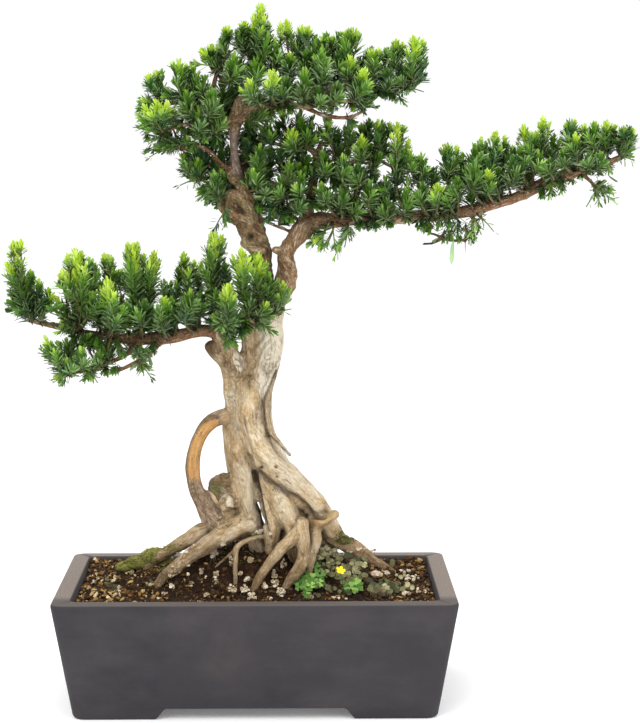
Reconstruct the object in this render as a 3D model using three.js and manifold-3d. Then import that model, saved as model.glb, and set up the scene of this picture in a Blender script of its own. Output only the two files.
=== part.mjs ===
// A buddhist pine bonsai in a rectangular unglazed clay pot, about 74 cm tall. Millimetres, +Z up.
// The tree leans out over the left and the right of the pot. Its wood is one grown body of fused strands,
// roots and branches; every leafy spray is a body of its own, seated on the wood with a hair's gap.

import * as THREE from "three";
import { mergeVertices } from "three/addons/utils/BufferGeometryUtils.js";
import Module from "manifold-3d";

const wasm = await Module();
wasm.setup();

// Pot
const POT_TOP = [420, 250];          // outer size at the rim, X and Y
const POT_FOOT = [379, 216];         // outer size at the feet
const POT_HEIGHT = 125;
const POT_CORNER = 12;               // corner radius seen from above
const RIM_WALL = 20;
const WALL_AT_FLOOR = 17;
const EDGE_ROUND = 2.5;
const FOOT_HEIGHT = 12;
const FLOOR_THICKNESS = 12;
const FOOT_GAP_LONG = [103, 92];     // half width of the gap under the long sides, at the ground and at the top
const FOOT_GAP_SHORT = [60, 50];     // the same under the short sides
const DRAIN_X = 78;
const DRAIN_RADIUS = 12;
const SCREEN_SIZE = 44;
const SCREEN_THICKNESS = 1.4;

// Soil
const SOIL_LEVEL = 117;              // where it meets the wall
const MOUND_HEIGHT = 44;
const MOUND_CENTRE = [6, 20];
const MOUND_REACH = [105, 38, 52];   // along X, towards the front, towards the back

// Fits
const GAP = 0.3;                     // between bodies that touch
const GROW = 0.42;                   // a tool this much fatter leaves that gap on a faceted seat

// Leaves
const LEAF_BY_RADIUS = 1.32;         // a leaf's length for each millimetre of its shoot's radius
const CORE_RADIUS = 2.4;
const STEM_RADIUS = 1.3;
const KNOT_RADIUS = 2.8;
const BAND_HEIGHT = 12.5;            // height of one row of leaves on a core

// The tree is drawn in its front view, on the plane y = 0, as it is seen from EYE. Each point then moves
// along the line of sight to its own depth, so the front view holds at any depth.
const EYE = new THREE.Vector3(38, -2125, 626);

function seen(x, z, depth) {
  const share = (depth - EYE.y) / -EYE.y;
  return new THREE.Vector3(EYE.x + (x - EYE.x) * share, depth, EYE.z + (z - EYE.z) * share);
}

// A small seeded generator, so that every run draws the same tree.
function drawer(seed) {
  let state = seed;
  return () => {
    state = (state + 0x6d2b79f5) | 0;
    let t = Math.imul(state ^ (state >>> 15), 1 | state);
    t = (t + Math.imul(t ^ (t >>> 7), 61 | t)) ^ t;
    return ((t ^ (t >>> 14)) >>> 0) / 4294967296;
  };
}

// Wood: each strand is [name, sides, points], and a point is [x, z, depth, radius] in the front view.
const TRUNK_STRANDS = [
  ["left_leg", 6, [[-22, 352, 4, 11], [-20, 320, 6, 14], [-19, 290, 6, 15], [-18, 262, 5, 14], [-14, 235, 3, 13],
    [-9, 208, 2, 12.5], [-4, 186, 4, 13], [2, 165, 10, 12], [5, 140, 14, 8]]],
  ["left_back", 6, [[-10, 352, 8, 9], [-18, 322, 13, 11], [-22, 290, 19, 13], [-20, 255, 22, 13], [-14, 222, 24, 13], [-8, 190, 26, 13],
    [-12, 160, 30, 11], [-20, 135, 36, 7]]],
  ["heartwood", 6, [[-2, 350, 8, 14], [-4, 318, 6, 16], [-4, 290, 7, 17], [4, 262, 10, 18], [16, 235, 14, 19],
    [28, 208, 18, 20], [34, 182, 20, 20], [32, 155, 20, 16], [30, 132, 20, 9]]],
  ["diagonal", 6, [[-8, 332, -6, 11], [-7, 300, -8, 12], [2, 271, -8, 13.5], [18, 247, -6, 15], [38, 229, -3, 15],
    [56, 214, 2, 14], [71, 200, 8, 13], [79, 183, 14, 13], [92, 166, 22, 10], [110, 155, 32, 7.5],
    [127, 141, 40, 6], [142, 133, 45, 5], [158, 122, 52, 3.5]]],
  ["shoulder", 6, [[6, 356, 7, 10], [7, 328, 10, 11], [9, 300, 15, 11], [14, 272, 18, 13], [30, 244, 20, 15], [48, 218, 24, 16],
    [62, 192, 28, 16], [70, 166, 34, 12], [82, 146, 46, 8], [96, 126, 62, 5]]],
  ["shin", 6, [[10, 232, -2, 10], [22, 214, -6, 12], [32, 196, -8, 13], [40, 180, -8, 12], [44, 164, -4, 10],
    [42, 142, 4, 7]]],
];
const LIMBS = [
  ["deadwood", 7, [[-4, 318, 6, 13], [4, 342, 6, 15], [11, 366, 6, 16], [13, 388, 6, 16], [12, 408, 6, 14],
    [11, 428, 6, 12]]],
  ["left_arm", 7, [[-20, 330, 6, 13], [-24, 348, 5, 11], [-28, 364, 3, 10], [-33, 378, 1, 9.5], [-37, 390, 0, 8]]],
  ["stump", 6, [[-32, 362, 2, 7], [-41, 371, 0, 7], [-49, 380, -1, 6.5]]],
  ["left_leader", 7, [[12, 408, 6, 13], [9, 430, 7, 11], [10, 455, 8, 10], [6, 478, 8, 11], [-2, 495, 8, 13.5],
    [-8, 510, 9, 13.5], [-14, 524, 10, 13], [-14, 538, 10, 11], [-17, 551, 9, 8.5], [-20, 565, 8, 7],
    [-22, 582, 8, 6.2], [-22, 600, 8, 6.5], [-20, 617, 8, 8], [-17, 632, 7, 6.5]]],
  ["burl", 6, [[-20, 514, 2, 7], [-26, 522, 1, 9.5], [-24, 533, 3, 7]]],
  ["right_leader", 7, [[13, 404, 4, 12], [22, 424, 2, 10], [31, 445, 0, 9.5], [32, 461, -1, 10], [31, 474, -2, 9],
    [36, 487, -3, 9.5], [43, 499, -4, 10], [54, 507, -4, 9], [68, 510, -3, 8]]],
];
const BRANCHES = [
  ["right_branch", 5, [[62, 509, -4, 8], [90, 511, -2, 7.5], [115, 512, 0, 7], [140, 513, 3, 6.5], [165, 514, 4, 6.5],
    [190, 515, 2, 6.5], [215, 518, 0, 6], [235, 523, -2, 6], [255, 530, 0, 6], [275, 535, 3, 6], [295, 544, 4, 6.5],
    [315, 553, 3, 7], [335, 561, 0, 6.2], [352, 565, -3, 4.8], [370, 570, -3, 3.4], [387, 578, 0, 2.2]]],
  ["right_twig", 4, [[342, 561, -2, 2.6], [352, 553, -8, 2.2], [360, 545, -12, 1.8]]],
  ["dark_twig", 4, [[229, 519, -2, 2.4], [230, 504, -8, 2], [222, 494, -10, 1.7], [205, 491, -11, 1.5],
    [188, 495, -9, 1.3]]],
  ["left_branch", 5, [[-30, 386, 1, 8.5], [-48, 393, 0, 6.5], [-66, 391, -3, 6], [-84, 389, -4, 6.5],
    [-104, 387, -2, 6.5], [-126, 384, 0, 5.5], [-148, 385, 2, 4.6], [-166, 388, 2, 4], [-184, 391, 1, 3.4],
    [-204, 396, 0, 2.8], [-222, 400, 0, 2.4], [-240, 405, 0, 2]]],
  ["left_low_twig", 4, [[-122, 382, -2, 3.4], [-138, 368, -10, 2.8], [-156, 359, -14, 2.4], [-176, 352, -16, 2.1],
    [-202, 346, -16, 1.6]]],
  ["left_low_twig_2", 4, [[-100, 383, -6, 3.2], [-116, 366, -14, 2.6], [-132, 357, -18, 2.2], [-150, 349, -18, 1.7]]],
  ["front_twig", 4, [[-35, 388, -4, 4], [-30, 398, -22, 3.2], [-12, 408, -30, 2.6], [10, 412, -30, 2]]],
  ["crown_right", 5, [[-20, 616, 8, 7], [8, 630, 5, 6], [40, 640, 2, 5.4], [75, 648, 0, 4.8], [105, 650, 0, 4.2],
    [135, 650, -2, 3.6], [162, 655, -4, 2.4]]],
  ["crown_front", 4, [[8, 630, 4, 4.4], [28, 630, -18, 3.6], [55, 630, -32, 3], [84, 634, -36, 2.6],
    [108, 636, -34, 2]]],
  ["crown_back", 4, [[20, 634, 6, 4], [50, 645, 28, 3.2], [88, 653, 36, 2.6], [118, 656, 32, 2]]],
  ["crown_arc", 4, [[40, 632, -22, 2.6], [56, 627, -24, 2.3], [70, 621, -26, 2.2], [86, 618, -27, 2.2],
    [102, 619, -26, 2], [114, 625, -24, 1.8]]],
  ["crown_top", 5, [[-17, 626, 7, 6], [-9, 648, 5, 4.8], [-1, 670, 3, 3.6], [3, 690, 1, 2.4]]],
  ["crown_top_right", 4, [[-4, 662, 4, 3.6], [20, 668, 8, 3.2], [48, 674, 10, 2.8], [76, 676, 8, 2.4],
    [96, 674, 4, 2]]],
  ["crown_left", 4, [[-21, 606, 8, 5.5], [-40, 620, 3, 4.4], [-60, 630, 0, 3.6], [-80, 634, -2, 2.8],
    [-94, 632, -4, 2.2]]],
  ["crown_left_up", 4, [[-40, 620, 3, 3.4], [-44, 644, 4, 2.8], [-40, 664, 4, 2.2]]],
  ["crown_left_front", 4, [[-34, 616, 4, 3.6], [-52, 612, -16, 2.8], [-76, 610, -22, 2.3], [-96, 603, -22, 1.8]]],
  ["left_twig", 4, [[-22, 563, 8, 3], [-37, 570, 0, 2.4], [-46, 581, -4, 2.2], [-58, 588, -6, 2], [-72, 587, -7, 1.9],
    [-84, 586, -9, 1.6]]],
  ["mid_low_left", 4, [[-14, 530, 12, 4], [-30, 540, 14, 3.2], [-46, 548, 8, 2.6], [-60, 555, 2, 2]]],
  ["mid_limb", 5, [[46, 502, -2, 6.5], [56, 522, 2, 5.6], [60, 544, 4, 5.2], [63, 562, 4, 4.6], [66, 580, 2, 3.6],
    [70, 592, 0, 2.6]]],
  ["mid_right", 4, [[63, 560, 4, 3.6], [84, 568, -6, 3], [106, 572, -10, 2.6], [125, 575, -6, 2.3], [145, 566, -6, 1.8]]],
  ["mid_left", 4, [[59, 538, 4, 3.6], [40, 546, -10, 3], [20, 548, -18, 2.4], [6, 549, -20, 2]]],
  ["mid_left_up", 4, [[66, 578, 2, 3], [52, 588, -8, 2.4], [40, 590, -18, 1.9]]],
  ["cross_twig", 4, [[-1, 524, 8, 2.4], [12, 514, 6, 1.8], [25, 508, 4, 1.6], [39, 501, 0, 2]]],
];
const ROOTS = [
  ["arch_root", 6, [[-20, 298, 0, 11], [-37, 299, -4, 10], [-50, 294, -8, 7.6], [-60, 279, -11, 6.6],
    [-66, 259, -12, 6.6], [-67, 238, -11, 7], [-62, 220, -8, 7.4], [-53, 206, -3, 8], [-44, 192, 2, 9],
    [-34, 172, 8, 8]]],
  ["mossy_knob", 6, [[-16, 206, 10, 10], [-36, 218, 6, 12], [-45, 226, 4, 8.5]]],
  ["pale_knob", 5, [[-20, 213, 2, 7], [-30, 207, -6, 8], [-33, 205, -10, 6]]],
  ["left_root_back", 5, [[-20, 190, 12, 12], [-42, 182, 14, 10], [-62, 172, 18, 7.5], [-84, 161, 26, 6.8],
    [-106, 147, 36, 7], [-122, 133, 44, 6.4], [-134, 114, 50, 4]]],
  ["left_root_front", 5, [[-8, 186, 2, 13], [-26, 178, -2, 11.5], [-48, 165, -6, 9.4], [-66, 153, -10, 8],
    [-84, 140, -14, 7], [-102, 124, -18, 5.4], [-114, 104, -20, 3]]],
  ["front_root_left", 5, [[44, 184, -12, 8], [40, 170, -17, 7], [26, 156, -24, 6], [12, 138, -31, 5.4],
    [2, 123, -36, 4.4], [-5, 106, -38, 2.6]]],
  ["front_root_right", 5, [[48, 184, -13, 8], [50, 166, -18, 7.2], [50, 150, -22, 6.8], [45, 134, -28, 6.4],
    [36, 122, -32, 5.2], [27, 106, -34, 3]]],
  ["side_root", 5, [[60, 184, 8, 9], [63, 165, -7, 5.6], [60, 152, -14, 4.6], [57, 138, -18, 4], [55, 118, -20, 2.4]]],
  ["cut_root", 6, [[62, 184, 3, 8], [72, 187, -7, 5.2], [84, 194, -9, 4.6]]],
  ["hanging_root", 4, [[4, 170, -6, 3], [-12, 165, -12, 2.8], [-21, 158, -16, 3], [-23, 142, -20, 3],
    [-23, 124, -24, 2.6], [-23, 108, -26, 1.6]]],
  ["back_root", 5, [[16, 192, 24, 13], [16, 160, 48, 9], [26, 140, 64, 6.5], [34, 116, 78, 4]]],
  ["back_root_left", 5, [[-12, 184, 28, 11], [-30, 158, 50, 8], [-46, 140, 66, 6], [-58, 116, 80, 4]]],
];

// Leafy sprays. A shoot is [base x, base z, tip x, tip z, depth, radius, youth] in the front view: the stem ends
// at the base, the outermost leaf at the tip, and youth runs from 0, dark and old, to 1, fresh and lime green.
const SPRAYS = {
  left_tip: [[-240, 410, -250, 462, 0, 15, 0.15], [-250, 450, -252, 489, 0, 7, 1], [-250, 438, -264, 467, -4, 9, 0.8],
    [-243, 414, -265, 427, -6, 11, 0.1], [-236, 414, -227, 444, 4, 11, 0.4], [-228, 408, -213, 434, -4, 10, 0.55]],
  left_a: [[-187, 402, -190, 480, -4, 14, 0.8], [-190, 426, -206, 460, -10, 10, 0.65], [-183, 415, -172, 471, 8, 13, 0.05],
    [-178, 408, -171, 437, -16, 10, 0.4], [-199, 404, -213, 431, -6, 10, 0.5], [-196, 397, -209, 404, -10, 9, 0.7]],
  left_b: [[-154, 438, -156, 475, 20, 9, 0.7], [-153, 402, -157, 451, -30, 12, 0.85], [-150, 398, -139, 421, -38, 13, 0.35],
    [-166, 402, -166, 432, -4, 12, 0.05]],
  left_c: [[-125, 418, -130, 487, -8, 13, 0.7], [-113, 425, -107, 480, 6, 12, 0.8], [-134, 438, -143, 460, 22, 9, 0.5],
    [-124, 404, -133, 434, -16, 13, 0], [-122, 402, -118, 428, -30, 13, 0]],
  left_d: [[-99, 396, -96, 431, -38, 12, 0.5], [-92, 418, -90, 447, 24, 12, 0.2], [-104, 396, -112, 416, -14, 13, 0.05],
    [-84, 406, -90, 430, -18, 12, 0]],
  left_e: [[-75, 405, -69, 438, -36, 12, 0.4], [-73, 430, -75, 476, 8, 11, 0.8], [-60, 436, -58, 468, 24, 8, 0.7],
    [-60, 412, -58, 436, -10, 12, 0.05]],
  left_f: [[-42, 436, -43, 501, -4, 11, 0.7], [-46, 440, -51, 472, -10, 9, 0.5], [-35, 432, -32, 462, 16, 12, 0.1],
    [-44, 418, -49, 447, -18, 10, 0.4]],
  left_g: [[-30, 408, -29, 445, -42, 13, 0.8], [-28, 400, -12, 413, -46, 12, 0.3], [-36, 400, -46, 412, -32, 12, 0],
    [-30, 394, -25, 379, -32, 10, 0.3]],
  left_h: [[-14, 432, -15, 482, -30, 12, 0.9], [-8, 412, -10, 438, -40, 12, 0.05], [4, 430, 3, 477, -28, 12, 0.8],
    [13, 424, 16, 456, -26, 11, 0.3]],
  left_i: [[27, 422, 30, 447, -22, 9, 0.5], [24, 413, 37, 427, -28, 10, 0.2], [6, 408, 13, 424, -44, 11, 0.5],
    [3, 402, 16, 401, -34, 10, 0.05]],
  left_low_a: [[-208, 352, -225, 388, -18, 10, 0.5], [-200, 358, -212, 383, -8, 11, 0.1], [-197, 349, -203, 364, -28, 10, 0.3],
    [-200, 347, -216, 342, -20, 9, 0.6], [-195, 358, -196, 384, 0, 11, 0.1]],
  left_low_b: [[-184, 354, -187, 377, -26, 11, 0.4], [-168, 356, -166, 372, -22, 10, 0.15], [-178, 351, -175, 339, -22, 9, 0.4],
    [-158, 366, -162, 390, -4, 13, 0]],
  left_low_c: [[-124, 368, -118, 387, -22, 10, 0.3], [-121, 357, -113, 348, -22, 10, 0.1], [-132, 376, -128, 396, 10, 11, 0]],
  crown_a: [[-98, 640, -112, 664, 4, 9, 0.5], [-97, 642, -97, 669, 14, 9, 0.05], [-86, 640, -94, 652, -4, 10, 0]],
  crown_b: [[-102, 608, -118, 632, -26, 10, 0.8], [-100, 608, -104, 638, -32, 11, 0.85], [-97, 608, -91, 636, -26, 10, 0.7],
    [-98, 604, -122, 616, -20, 11, 0.3], [-96, 600, -112, 600, -18, 10, 0]],
  crown_c: [[-76, 640, -80, 680, -10, 12, 0.5], [-66, 642, -64, 678, 2, 12, 0.5], [-55, 640, -50, 666, -6, 11, 0.2],
    [-68, 622, -73, 648, -26, 13, 0.05]],
  crown_d: [[-58, 606, -60, 630, -28, 12, 0.1], [-47, 622, -44, 651, -32, 13, 0.1], [-40, 604, -35, 628, -24, 11, 0.1]],
  crown_e: [[-40, 670, -57, 688, -6, 11, 0.6], [-38, 674, -40, 694, 8, 11, 0.6], [-30, 682, -31, 714, 4, 9, 0.5],
    [-24, 658, -20, 687, -26, 13, 0.1]],
  crown_f: [[4, 668, 6, 718, -4, 14, 0.35], [6, 706, 7, 738, -2, 8, 1], [1, 692, -1, 727, -6, 8, 0.8],
    [-8, 684, -11, 719, 4, 10, 0.6], [-12, 690, -20, 710, 16, 8, 0]],
  crown_g: [[20, 670, 22, 702, -10, 11, 0.4], [40, 684, 33, 720, 20, 8, 0.85], [48, 682, 50, 713, 10, 9, 0.7],
    [37, 664, 36, 687, -20, 11, 0.5]],
  crown_h: [[0, 636, -8, 659, -48, 11, 0.7], [17, 642, 19, 669, -50, 11, 0.9], [30, 640, 33, 662, -36, 13, 0.05],
    [0, 652, 2, 682, -20, 13, 0.05], [-2, 614, 14, 626, -28, 12, 0.15]],
  crown_i: [[52, 664, 54, 690, -14, 11, 0.3], [64, 676, 63, 704, 0, 12, 0.3], [75, 680, 74, 707, 12, 12, 0.3],
    [87, 680, 88, 708, 14, 12, 0.2]],
  crown_j: [[100, 670, 101, 712, 0, 13, 0.3], [100, 655, 100, 683, -26, 12, 0.6], [88, 668, 89, 690, -10, 11, 0.3],
    [110, 664, 113, 684, 6, 10, 0.05]],
  crown_k: [[70, 652, 70, 691, -32, 13, 0.1], [50, 636, 53, 671, -50, 13, 0.2], [85, 636, 88, 657, -50, 12, 0.3],
    [68, 632, 66, 652, -44, 12, 0]],
  crown_l: [[108, 640, 115, 671, -46, 14, 0.6], [110, 630, 118, 643, -30, 9, 0.1], [124, 662, 122, 690, -14, 11, 0.5],
    [136, 660, 136, 687, 8, 11, 0.2]],
  crown_m: [[165, 656, 169, 703, -10, 13, 0.7], [170, 654, 181, 681, 8, 12, 0.1], [160, 650, 174, 652, -6, 9, 0.05],
    [148, 668, 148, 700, -2, 10, 0.4], [140, 650, 138, 672, -24, 12, 0], [154, 652, 157, 672, -16, 11, 0]],
  crown_n: [[36, 644, 32, 682, 38, 12, 0.3], [60, 650, 62, 692, 46, 13, 0.3], [92, 656, 92, 698, 50, 13, 0.4],
    [76, 642, 80, 666, 62, 12, 0.1], [118, 657, 123, 692, 44, 12, 0.2], [52, 636, 44, 656, 56, 12, 0.05]],
  mid_a: [[-70, 562, -80, 582, 2, 11, 0.5], [-60, 556, -62, 578, -8, 12, 0.1], [-62, 554, -77, 556, -4, 10, 0.05]],
  mid_b: [[-44, 544, -63, 539, 2, 12, 0.25], [-40, 536, -44, 563, -16, 14, 0.35], [-33, 519, -38, 506, -8, 10, 0]],
  mid_c: [[-84, 590, -100, 599, -12, 11, 0], [-90, 588, -108, 587, -14, 9, 0], [-72, 590, -78, 606, -6, 9, 0.05]],
  mid_d: [[4, 560, 5, 592, -20, 11, 0.4], [2, 546, 3, 574, -30, 12, 0.15], [10, 536, 15, 552, -30, 11, 0.2],
    [-8, 546, -12, 568, -12, 10, 0.1]],
  mid_e: [[26, 536, 28, 558, -26, 12, 0.1], [35, 552, 36, 574, -22, 11, 0.25], [46, 538, 49, 562, -26, 12, 0.4],
    [46, 522, 45, 544, -24, 12, 0.2], [24, 528, 14, 518, -6, 11, 0]],
  mid_f: [[40, 586, 38, 608, -28, 13, 0.75], [54, 592, 47, 619, -10, 11, 0.35], [59, 590, 60, 614, -4, 11, 0.35],
    [16, 594, 11, 614, -10, 11, 0.05]],
  mid_g: [[78, 594, 77, 618, -4, 10, 0.6], [86, 580, 88, 606, 4, 12, 0.1], [99, 590, 99, 616, 0, 10, 0.3],
    [74, 560, 70, 584, -18, 12, 0.05]],
  mid_h: [[112, 574, 112, 601, -20, 11, 0.7], [118, 594, 120, 618, 6, 11, 0.1], [132, 588, 134, 615, 2, 12, 0.1],
    [126, 574, 141, 592, 2, 11, 0.05], [124, 564, 134, 582, -16, 11, 0.3]],
  mid_i: [[93, 558, 92, 580, -28, 13, 0.4], [108, 550, 108, 572, -28, 13, 0.3], [75, 530, 69, 551, -28, 11, 0.4],
    [91, 526, 92, 548, -28, 13, 0.1]],
  mid_j: [[120, 530, 121, 553, -28, 12, 0.1], [139, 540, 136, 558, -16, 10, 0.05], [138, 514, 138, 535, -26, 12, 0.15],
    [106, 518, 108, 536, -24, 12, 0.1]],
  mid_k: [[150, 552, 150, 590, -6, 12, 0.4], [149, 583, 150, 614, -6, 9, 1], [164, 562, 162, 586, -8, 10, 0.45],
    [158, 520, 160, 547, -24, 12, 0.1]],
  mid_l: [[175, 554, 176, 582, 0, 11, 0.4], [187, 550, 186, 573, 12, 10, 0.1], [175, 528, 175, 552, -26, 12, 0.1],
    [192, 528, 193, 550, -30, 12, 0.7]],
  mid_m: [[74, 500, 60, 486, -14, 10, 0.6], [82, 500, 75, 481, -12, 9, 0.3], [98, 500, 87, 480, -12, 10, 0.3]],
  right_a: [[203, 554, 203, 592, 0, 12, 0.4], [216, 548, 219, 582, 14, 10, 0.15], [213, 534, 212, 557, -24, 12, 0.25],
    [205, 526, 204, 546, -24, 12, 0.05]],
  right_b: [[229, 558, 232, 592, 4, 12, 0.2], [240, 564, 243, 594, 14, 10, 0.1], [230, 544, 231, 574, -26, 13, 0.2],
    [244, 558, 246, 579, -8, 10, 0.4]],
  right_c: [[246, 540, 246, 565, -30, 10, 0.6], [254, 546, 258, 567, -14, 11, 0], [252, 572, 253, 603, 0, 10, 0.7],
    [262, 568, 264, 594, 10, 10, 0.3]],
  right_d: [[272, 550, 272, 580, -26, 13, 0.1], [282, 564, 280, 590, -14, 11, 0.3], [284, 576, 284, 610, 2, 10, 0.9],
    [292, 578, 293, 606, -10, 10, 0.5]],
  right_e: [[302, 580, 303, 620, 4, 10, 0.9], [312, 574, 315, 602, 10, 10, 0.1], [299, 563, 298, 586, -18, 12, 0],
    [311, 560, 310, 577, -24, 11, 0]],
  right_f: [[333, 584, 332, 617, -4, 12, 0.2], [345, 584, 347, 609, 14, 9, 0.05], [338, 578, 338, 603, -16, 10, 0.6],
    [326, 568, 326, 587, -22, 10, 0.4]],
  right_g: [[357, 584, 357, 615, 0, 11, 0.4], [370, 584, 370, 616, 4, 12, 0.5], [351, 566, 355, 584, -20, 11, 0.25],
    [363, 566, 364, 584, -24, 11, 0.15]],
  right_h: [[384, 589, 385, 608, 12, 9, 0.5], [392, 588, 394, 611, 0, 9, 0.15], [388, 582, 398, 593, -6, 10, 0.4],
    [388, 577, 400, 576, -4, 9, 0.1]],
  right_i: [[232, 510, 234, 498, -14, 10, 0.4], [240, 512, 250, 508, -12, 9, 0.2]],
  right_j: [[366, 541, 379, 536, -16, 11, 0.4], [361, 547, 372, 551, -14, 9, 0.1], [360, 541, 357, 530, -14, 8, 0.05]],
};
// Shoots this far forward have a partner behind the branch, unless the trunk is in the way.
const MIRROR_FROM = -26;
const DEPTH_SPREAD = 1.35;           // how far the sprays reach to the front and back
const NO_PARTNERS = new Set(["crown_h", "crown_j", "crown_k", "mid_h", "left_g", "left_h", "left_i", "left_low_a", "left_low_b", "left_low_c", "mid_e", "mid_b",
  "mid_m", "right_i", "right_j", "crown_d"]);

// Geometry helpers

function manifoldOf(positions, indices) {
  const solid = new wasm.Manifold(new wasm.Mesh({
    numProp: 3,
    vertProperties: new Float32Array(positions),
    triVerts: new Uint32Array(indices),
  }));
  if (solid.volume() >= 0) return solid;
  const turned = indices.slice();
  for (let i = 0; i < turned.length; i += 3) [turned[i + 1], turned[i + 2]] = [turned[i + 2], turned[i + 1]];
  return manifoldOf(positions, turned);
}

function solidOf(geometry) {
  geometry.deleteAttribute("normal");
  geometry.deleteAttribute("uv");
  const merged = mergeVertices(geometry, 1e-3);
  return manifoldOf(Array.from(merged.attributes.position.array), Array.from(merged.index.array));
}

function geometryOf(solid) {
  const mesh = solid.getMesh();
  const count = mesh.numProp;
  const positions = new Float32Array(mesh.numVert * 3);
  for (let i = 0; i < mesh.numVert; i++) positions.set(mesh.vertProperties.subarray(i * count, i * count + 3), i * 3);
  const geometry = new THREE.BufferGeometry();
  geometry.setAttribute("position", new THREE.BufferAttribute(positions, 3));
  geometry.setIndex(new THREE.BufferAttribute(mesh.triVerts, 1));
  const flat = geometry.toNonIndexed();
  flat.computeVertexNormals();
  return flat;
}

const joined = (solids) => solids.reduce((all, next) => all.add(next));

// The largest body of a solid; the scraps a cut leaves behind are dropped.
function largest(solid) {
  const bodies = solid.decompose();
  return bodies.reduce((best, body) => (body.volume() > best.volume() ? body : best));
}

// A solid from rings of equally many points, closed by a point at each end.
function skin(rings) {
  const sides = rings[0].length;
  const positions = [];
  const indices = [];
  const centre = (ring) => ring.reduce((sum, p) => sum.add(p), new THREE.Vector3()).divideScalar(sides);
  rings.flat().forEach((p) => positions.push(p.x, p.y, p.z));
  const low = rings.length * sides;
  [centre(rings[0]), centre(rings.at(-1))].forEach((p) => positions.push(p.x, p.y, p.z));
  for (let i = 0; i < sides; i++) {
    const j = (i + 1) % sides;
    for (let r = 0; r + 1 < rings.length; r++) {
      const a = r * sides;
      const b = a + sides;
      indices.push(a + i, a + j, b + j, a + i, b + j, b + i);
    }
    const top = (rings.length - 1) * sides;
    indices.push(low, j, i, low + 1, top + i, top + j);
  }
  return manifoldOf(positions, indices);
}

// Two directions across a path, carried along it without twisting.
function frames(points) {
  const along = points.map((p, i) =>
    points[Math.min(i + 1, points.length - 1)].clone().sub(points[Math.max(i - 1, 0)]).normalize());
  const start = Math.abs(along[0].z) < 0.9 ? new THREE.Vector3(0, 0, 1) : new THREE.Vector3(0, 1, 0);
  let across = start.cross(along[0]).normalize();
  return along.map((direction) => {
    across = across.clone().addScaledVector(direction, -across.dot(direction)).normalize();
    return { across, side: direction.clone().cross(across) };
  });
}

// A tapering stem through points with radii; roughness pushes each corner in or out by a share of the radius.
function stem(points, radii, sides, roughness = 0, draw = null) {
  const rings = frames(points).map(({ across, side }, i) =>
    Array.from({ length: sides }, (_, k) => {
      const turn = (2 * Math.PI * k) / sides;
      const reach = radii[i] * (1 + (draw ? (draw() - 0.5) * 2 * roughness : 0));
      return points[i].clone().addScaledVector(across, Math.cos(turn) * reach)
        .addScaledVector(side, Math.sin(turn) * reach);
    }));
  return skin(rings);
}

// Wood

const STEP = { 7: 30, 6: 30, 5: 27, 4: 32 };  // length of a facet for each number of sides

function strandPath([name, sides, rows]) {
  const places = rows.map(([x, z, depth]) => seen(x, z, depth));
  const curve = new THREE.CatmullRomCurve3(places, false, "centripetal");
  const steps = Math.max(rows.length - 1, Math.round(curve.getLength() / STEP[sides]));
  const points = [];
  const radii = [];
  for (let i = 0; i <= steps; i++) {
    const share = (i / steps) * (rows.length - 1);
    const row = Math.min(Math.floor(share), rows.length - 2);
    points.push(curve.getPoint(i / steps));
    radii.push(THREE.MathUtils.lerp(rows[row][3], rows[row + 1][3], share - row));
  }
  return { name, sides, points, radii };
}

const strands = [...TRUNK_STRANDS, ...LIMBS, ...BRANCHES, ...ROOTS].map(strandPath);

// The whole wood, or the same grown by a little on every side.
function woodSolid(extra) {
  const draw = drawer(11);
  return joined(strands.map(({ sides, points, radii }) => {
    const roughness = sides > 4 ? 0.07 : 0.04;
    const path = points.map((p) => p.clone());
    path[0].addScaledVector(points[1].clone().sub(points[0]).normalize(), -extra);
    path.at(-1).addScaledVector(points.at(-1).clone().sub(points.at(-2)).normalize(), extra);
    return stem(path, radii.map((r) => r + extra), sides, roughness, draw);
  }));
}

// The nearest point of the wood's centre lines, with the radius there.
function nearestWood(place) {
  let best = { distance: Infinity };
  for (const { points, radii } of strands) {
    for (let i = 0; i + 1 < points.length; i++) {
      const a = points[i];
      const b = points[i + 1];
      const [dx, dy, dz] = [b.x - a.x, b.y - a.y, b.z - a.z];
      const along = (place.x - a.x) * dx + (place.y - a.y) * dy + (place.z - a.z) * dz;
      const share = Math.min(Math.max(along / (dx * dx + dy * dy + dz * dz), 0), 1);
      const radius = radii[i] + (radii[i + 1] - radii[i]) * share;
      const [x, y, z] = [a.x + dx * share, a.y + dy * share, a.z + dz * share];
      const distance = Math.hypot(place.x - x, place.y - y, place.z - z) - radius;
      if (distance < best.distance) best = { distance, radius, x, y, z };
    }
  }
  return { ...best, point: new THREE.Vector3(best.x, best.y, best.z) };
}

// Leaves

// Each shoot in space: its base, the end of its core, its leaf length and its age.
function shootsOf(name) {
  const rows = SPRAYS[name];
  const partners = NO_PARTNERS.has(name) ? [] : rows.filter((row) => row[4] <= MIRROR_FROM).map(
    ([x0, z0, x1, z1, depth, radius, youth]) => [x0 + 4, z0 - 2, x1 + 7, z1 - 5, 8 - depth, radius, youth * 0.7]);
  return [...rows, ...partners].map(([x0, z0, x1, z1, depth, radius, youth]) => {
    const away = DEPTH_SPREAD * depth;
    const base = seen(x0, z0, away);
    const tip = seen(x1, z1, away * 1.08);
    const leaf = LEAF_BY_RADIUS * radius;
    const axis = tip.clone().sub(base);
    const length = Math.max(axis.length() - 0.85 * leaf, 5);
    axis.normalize();
    return { name, base, axis, length, leaf, radius, youth };
  });
}

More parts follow.
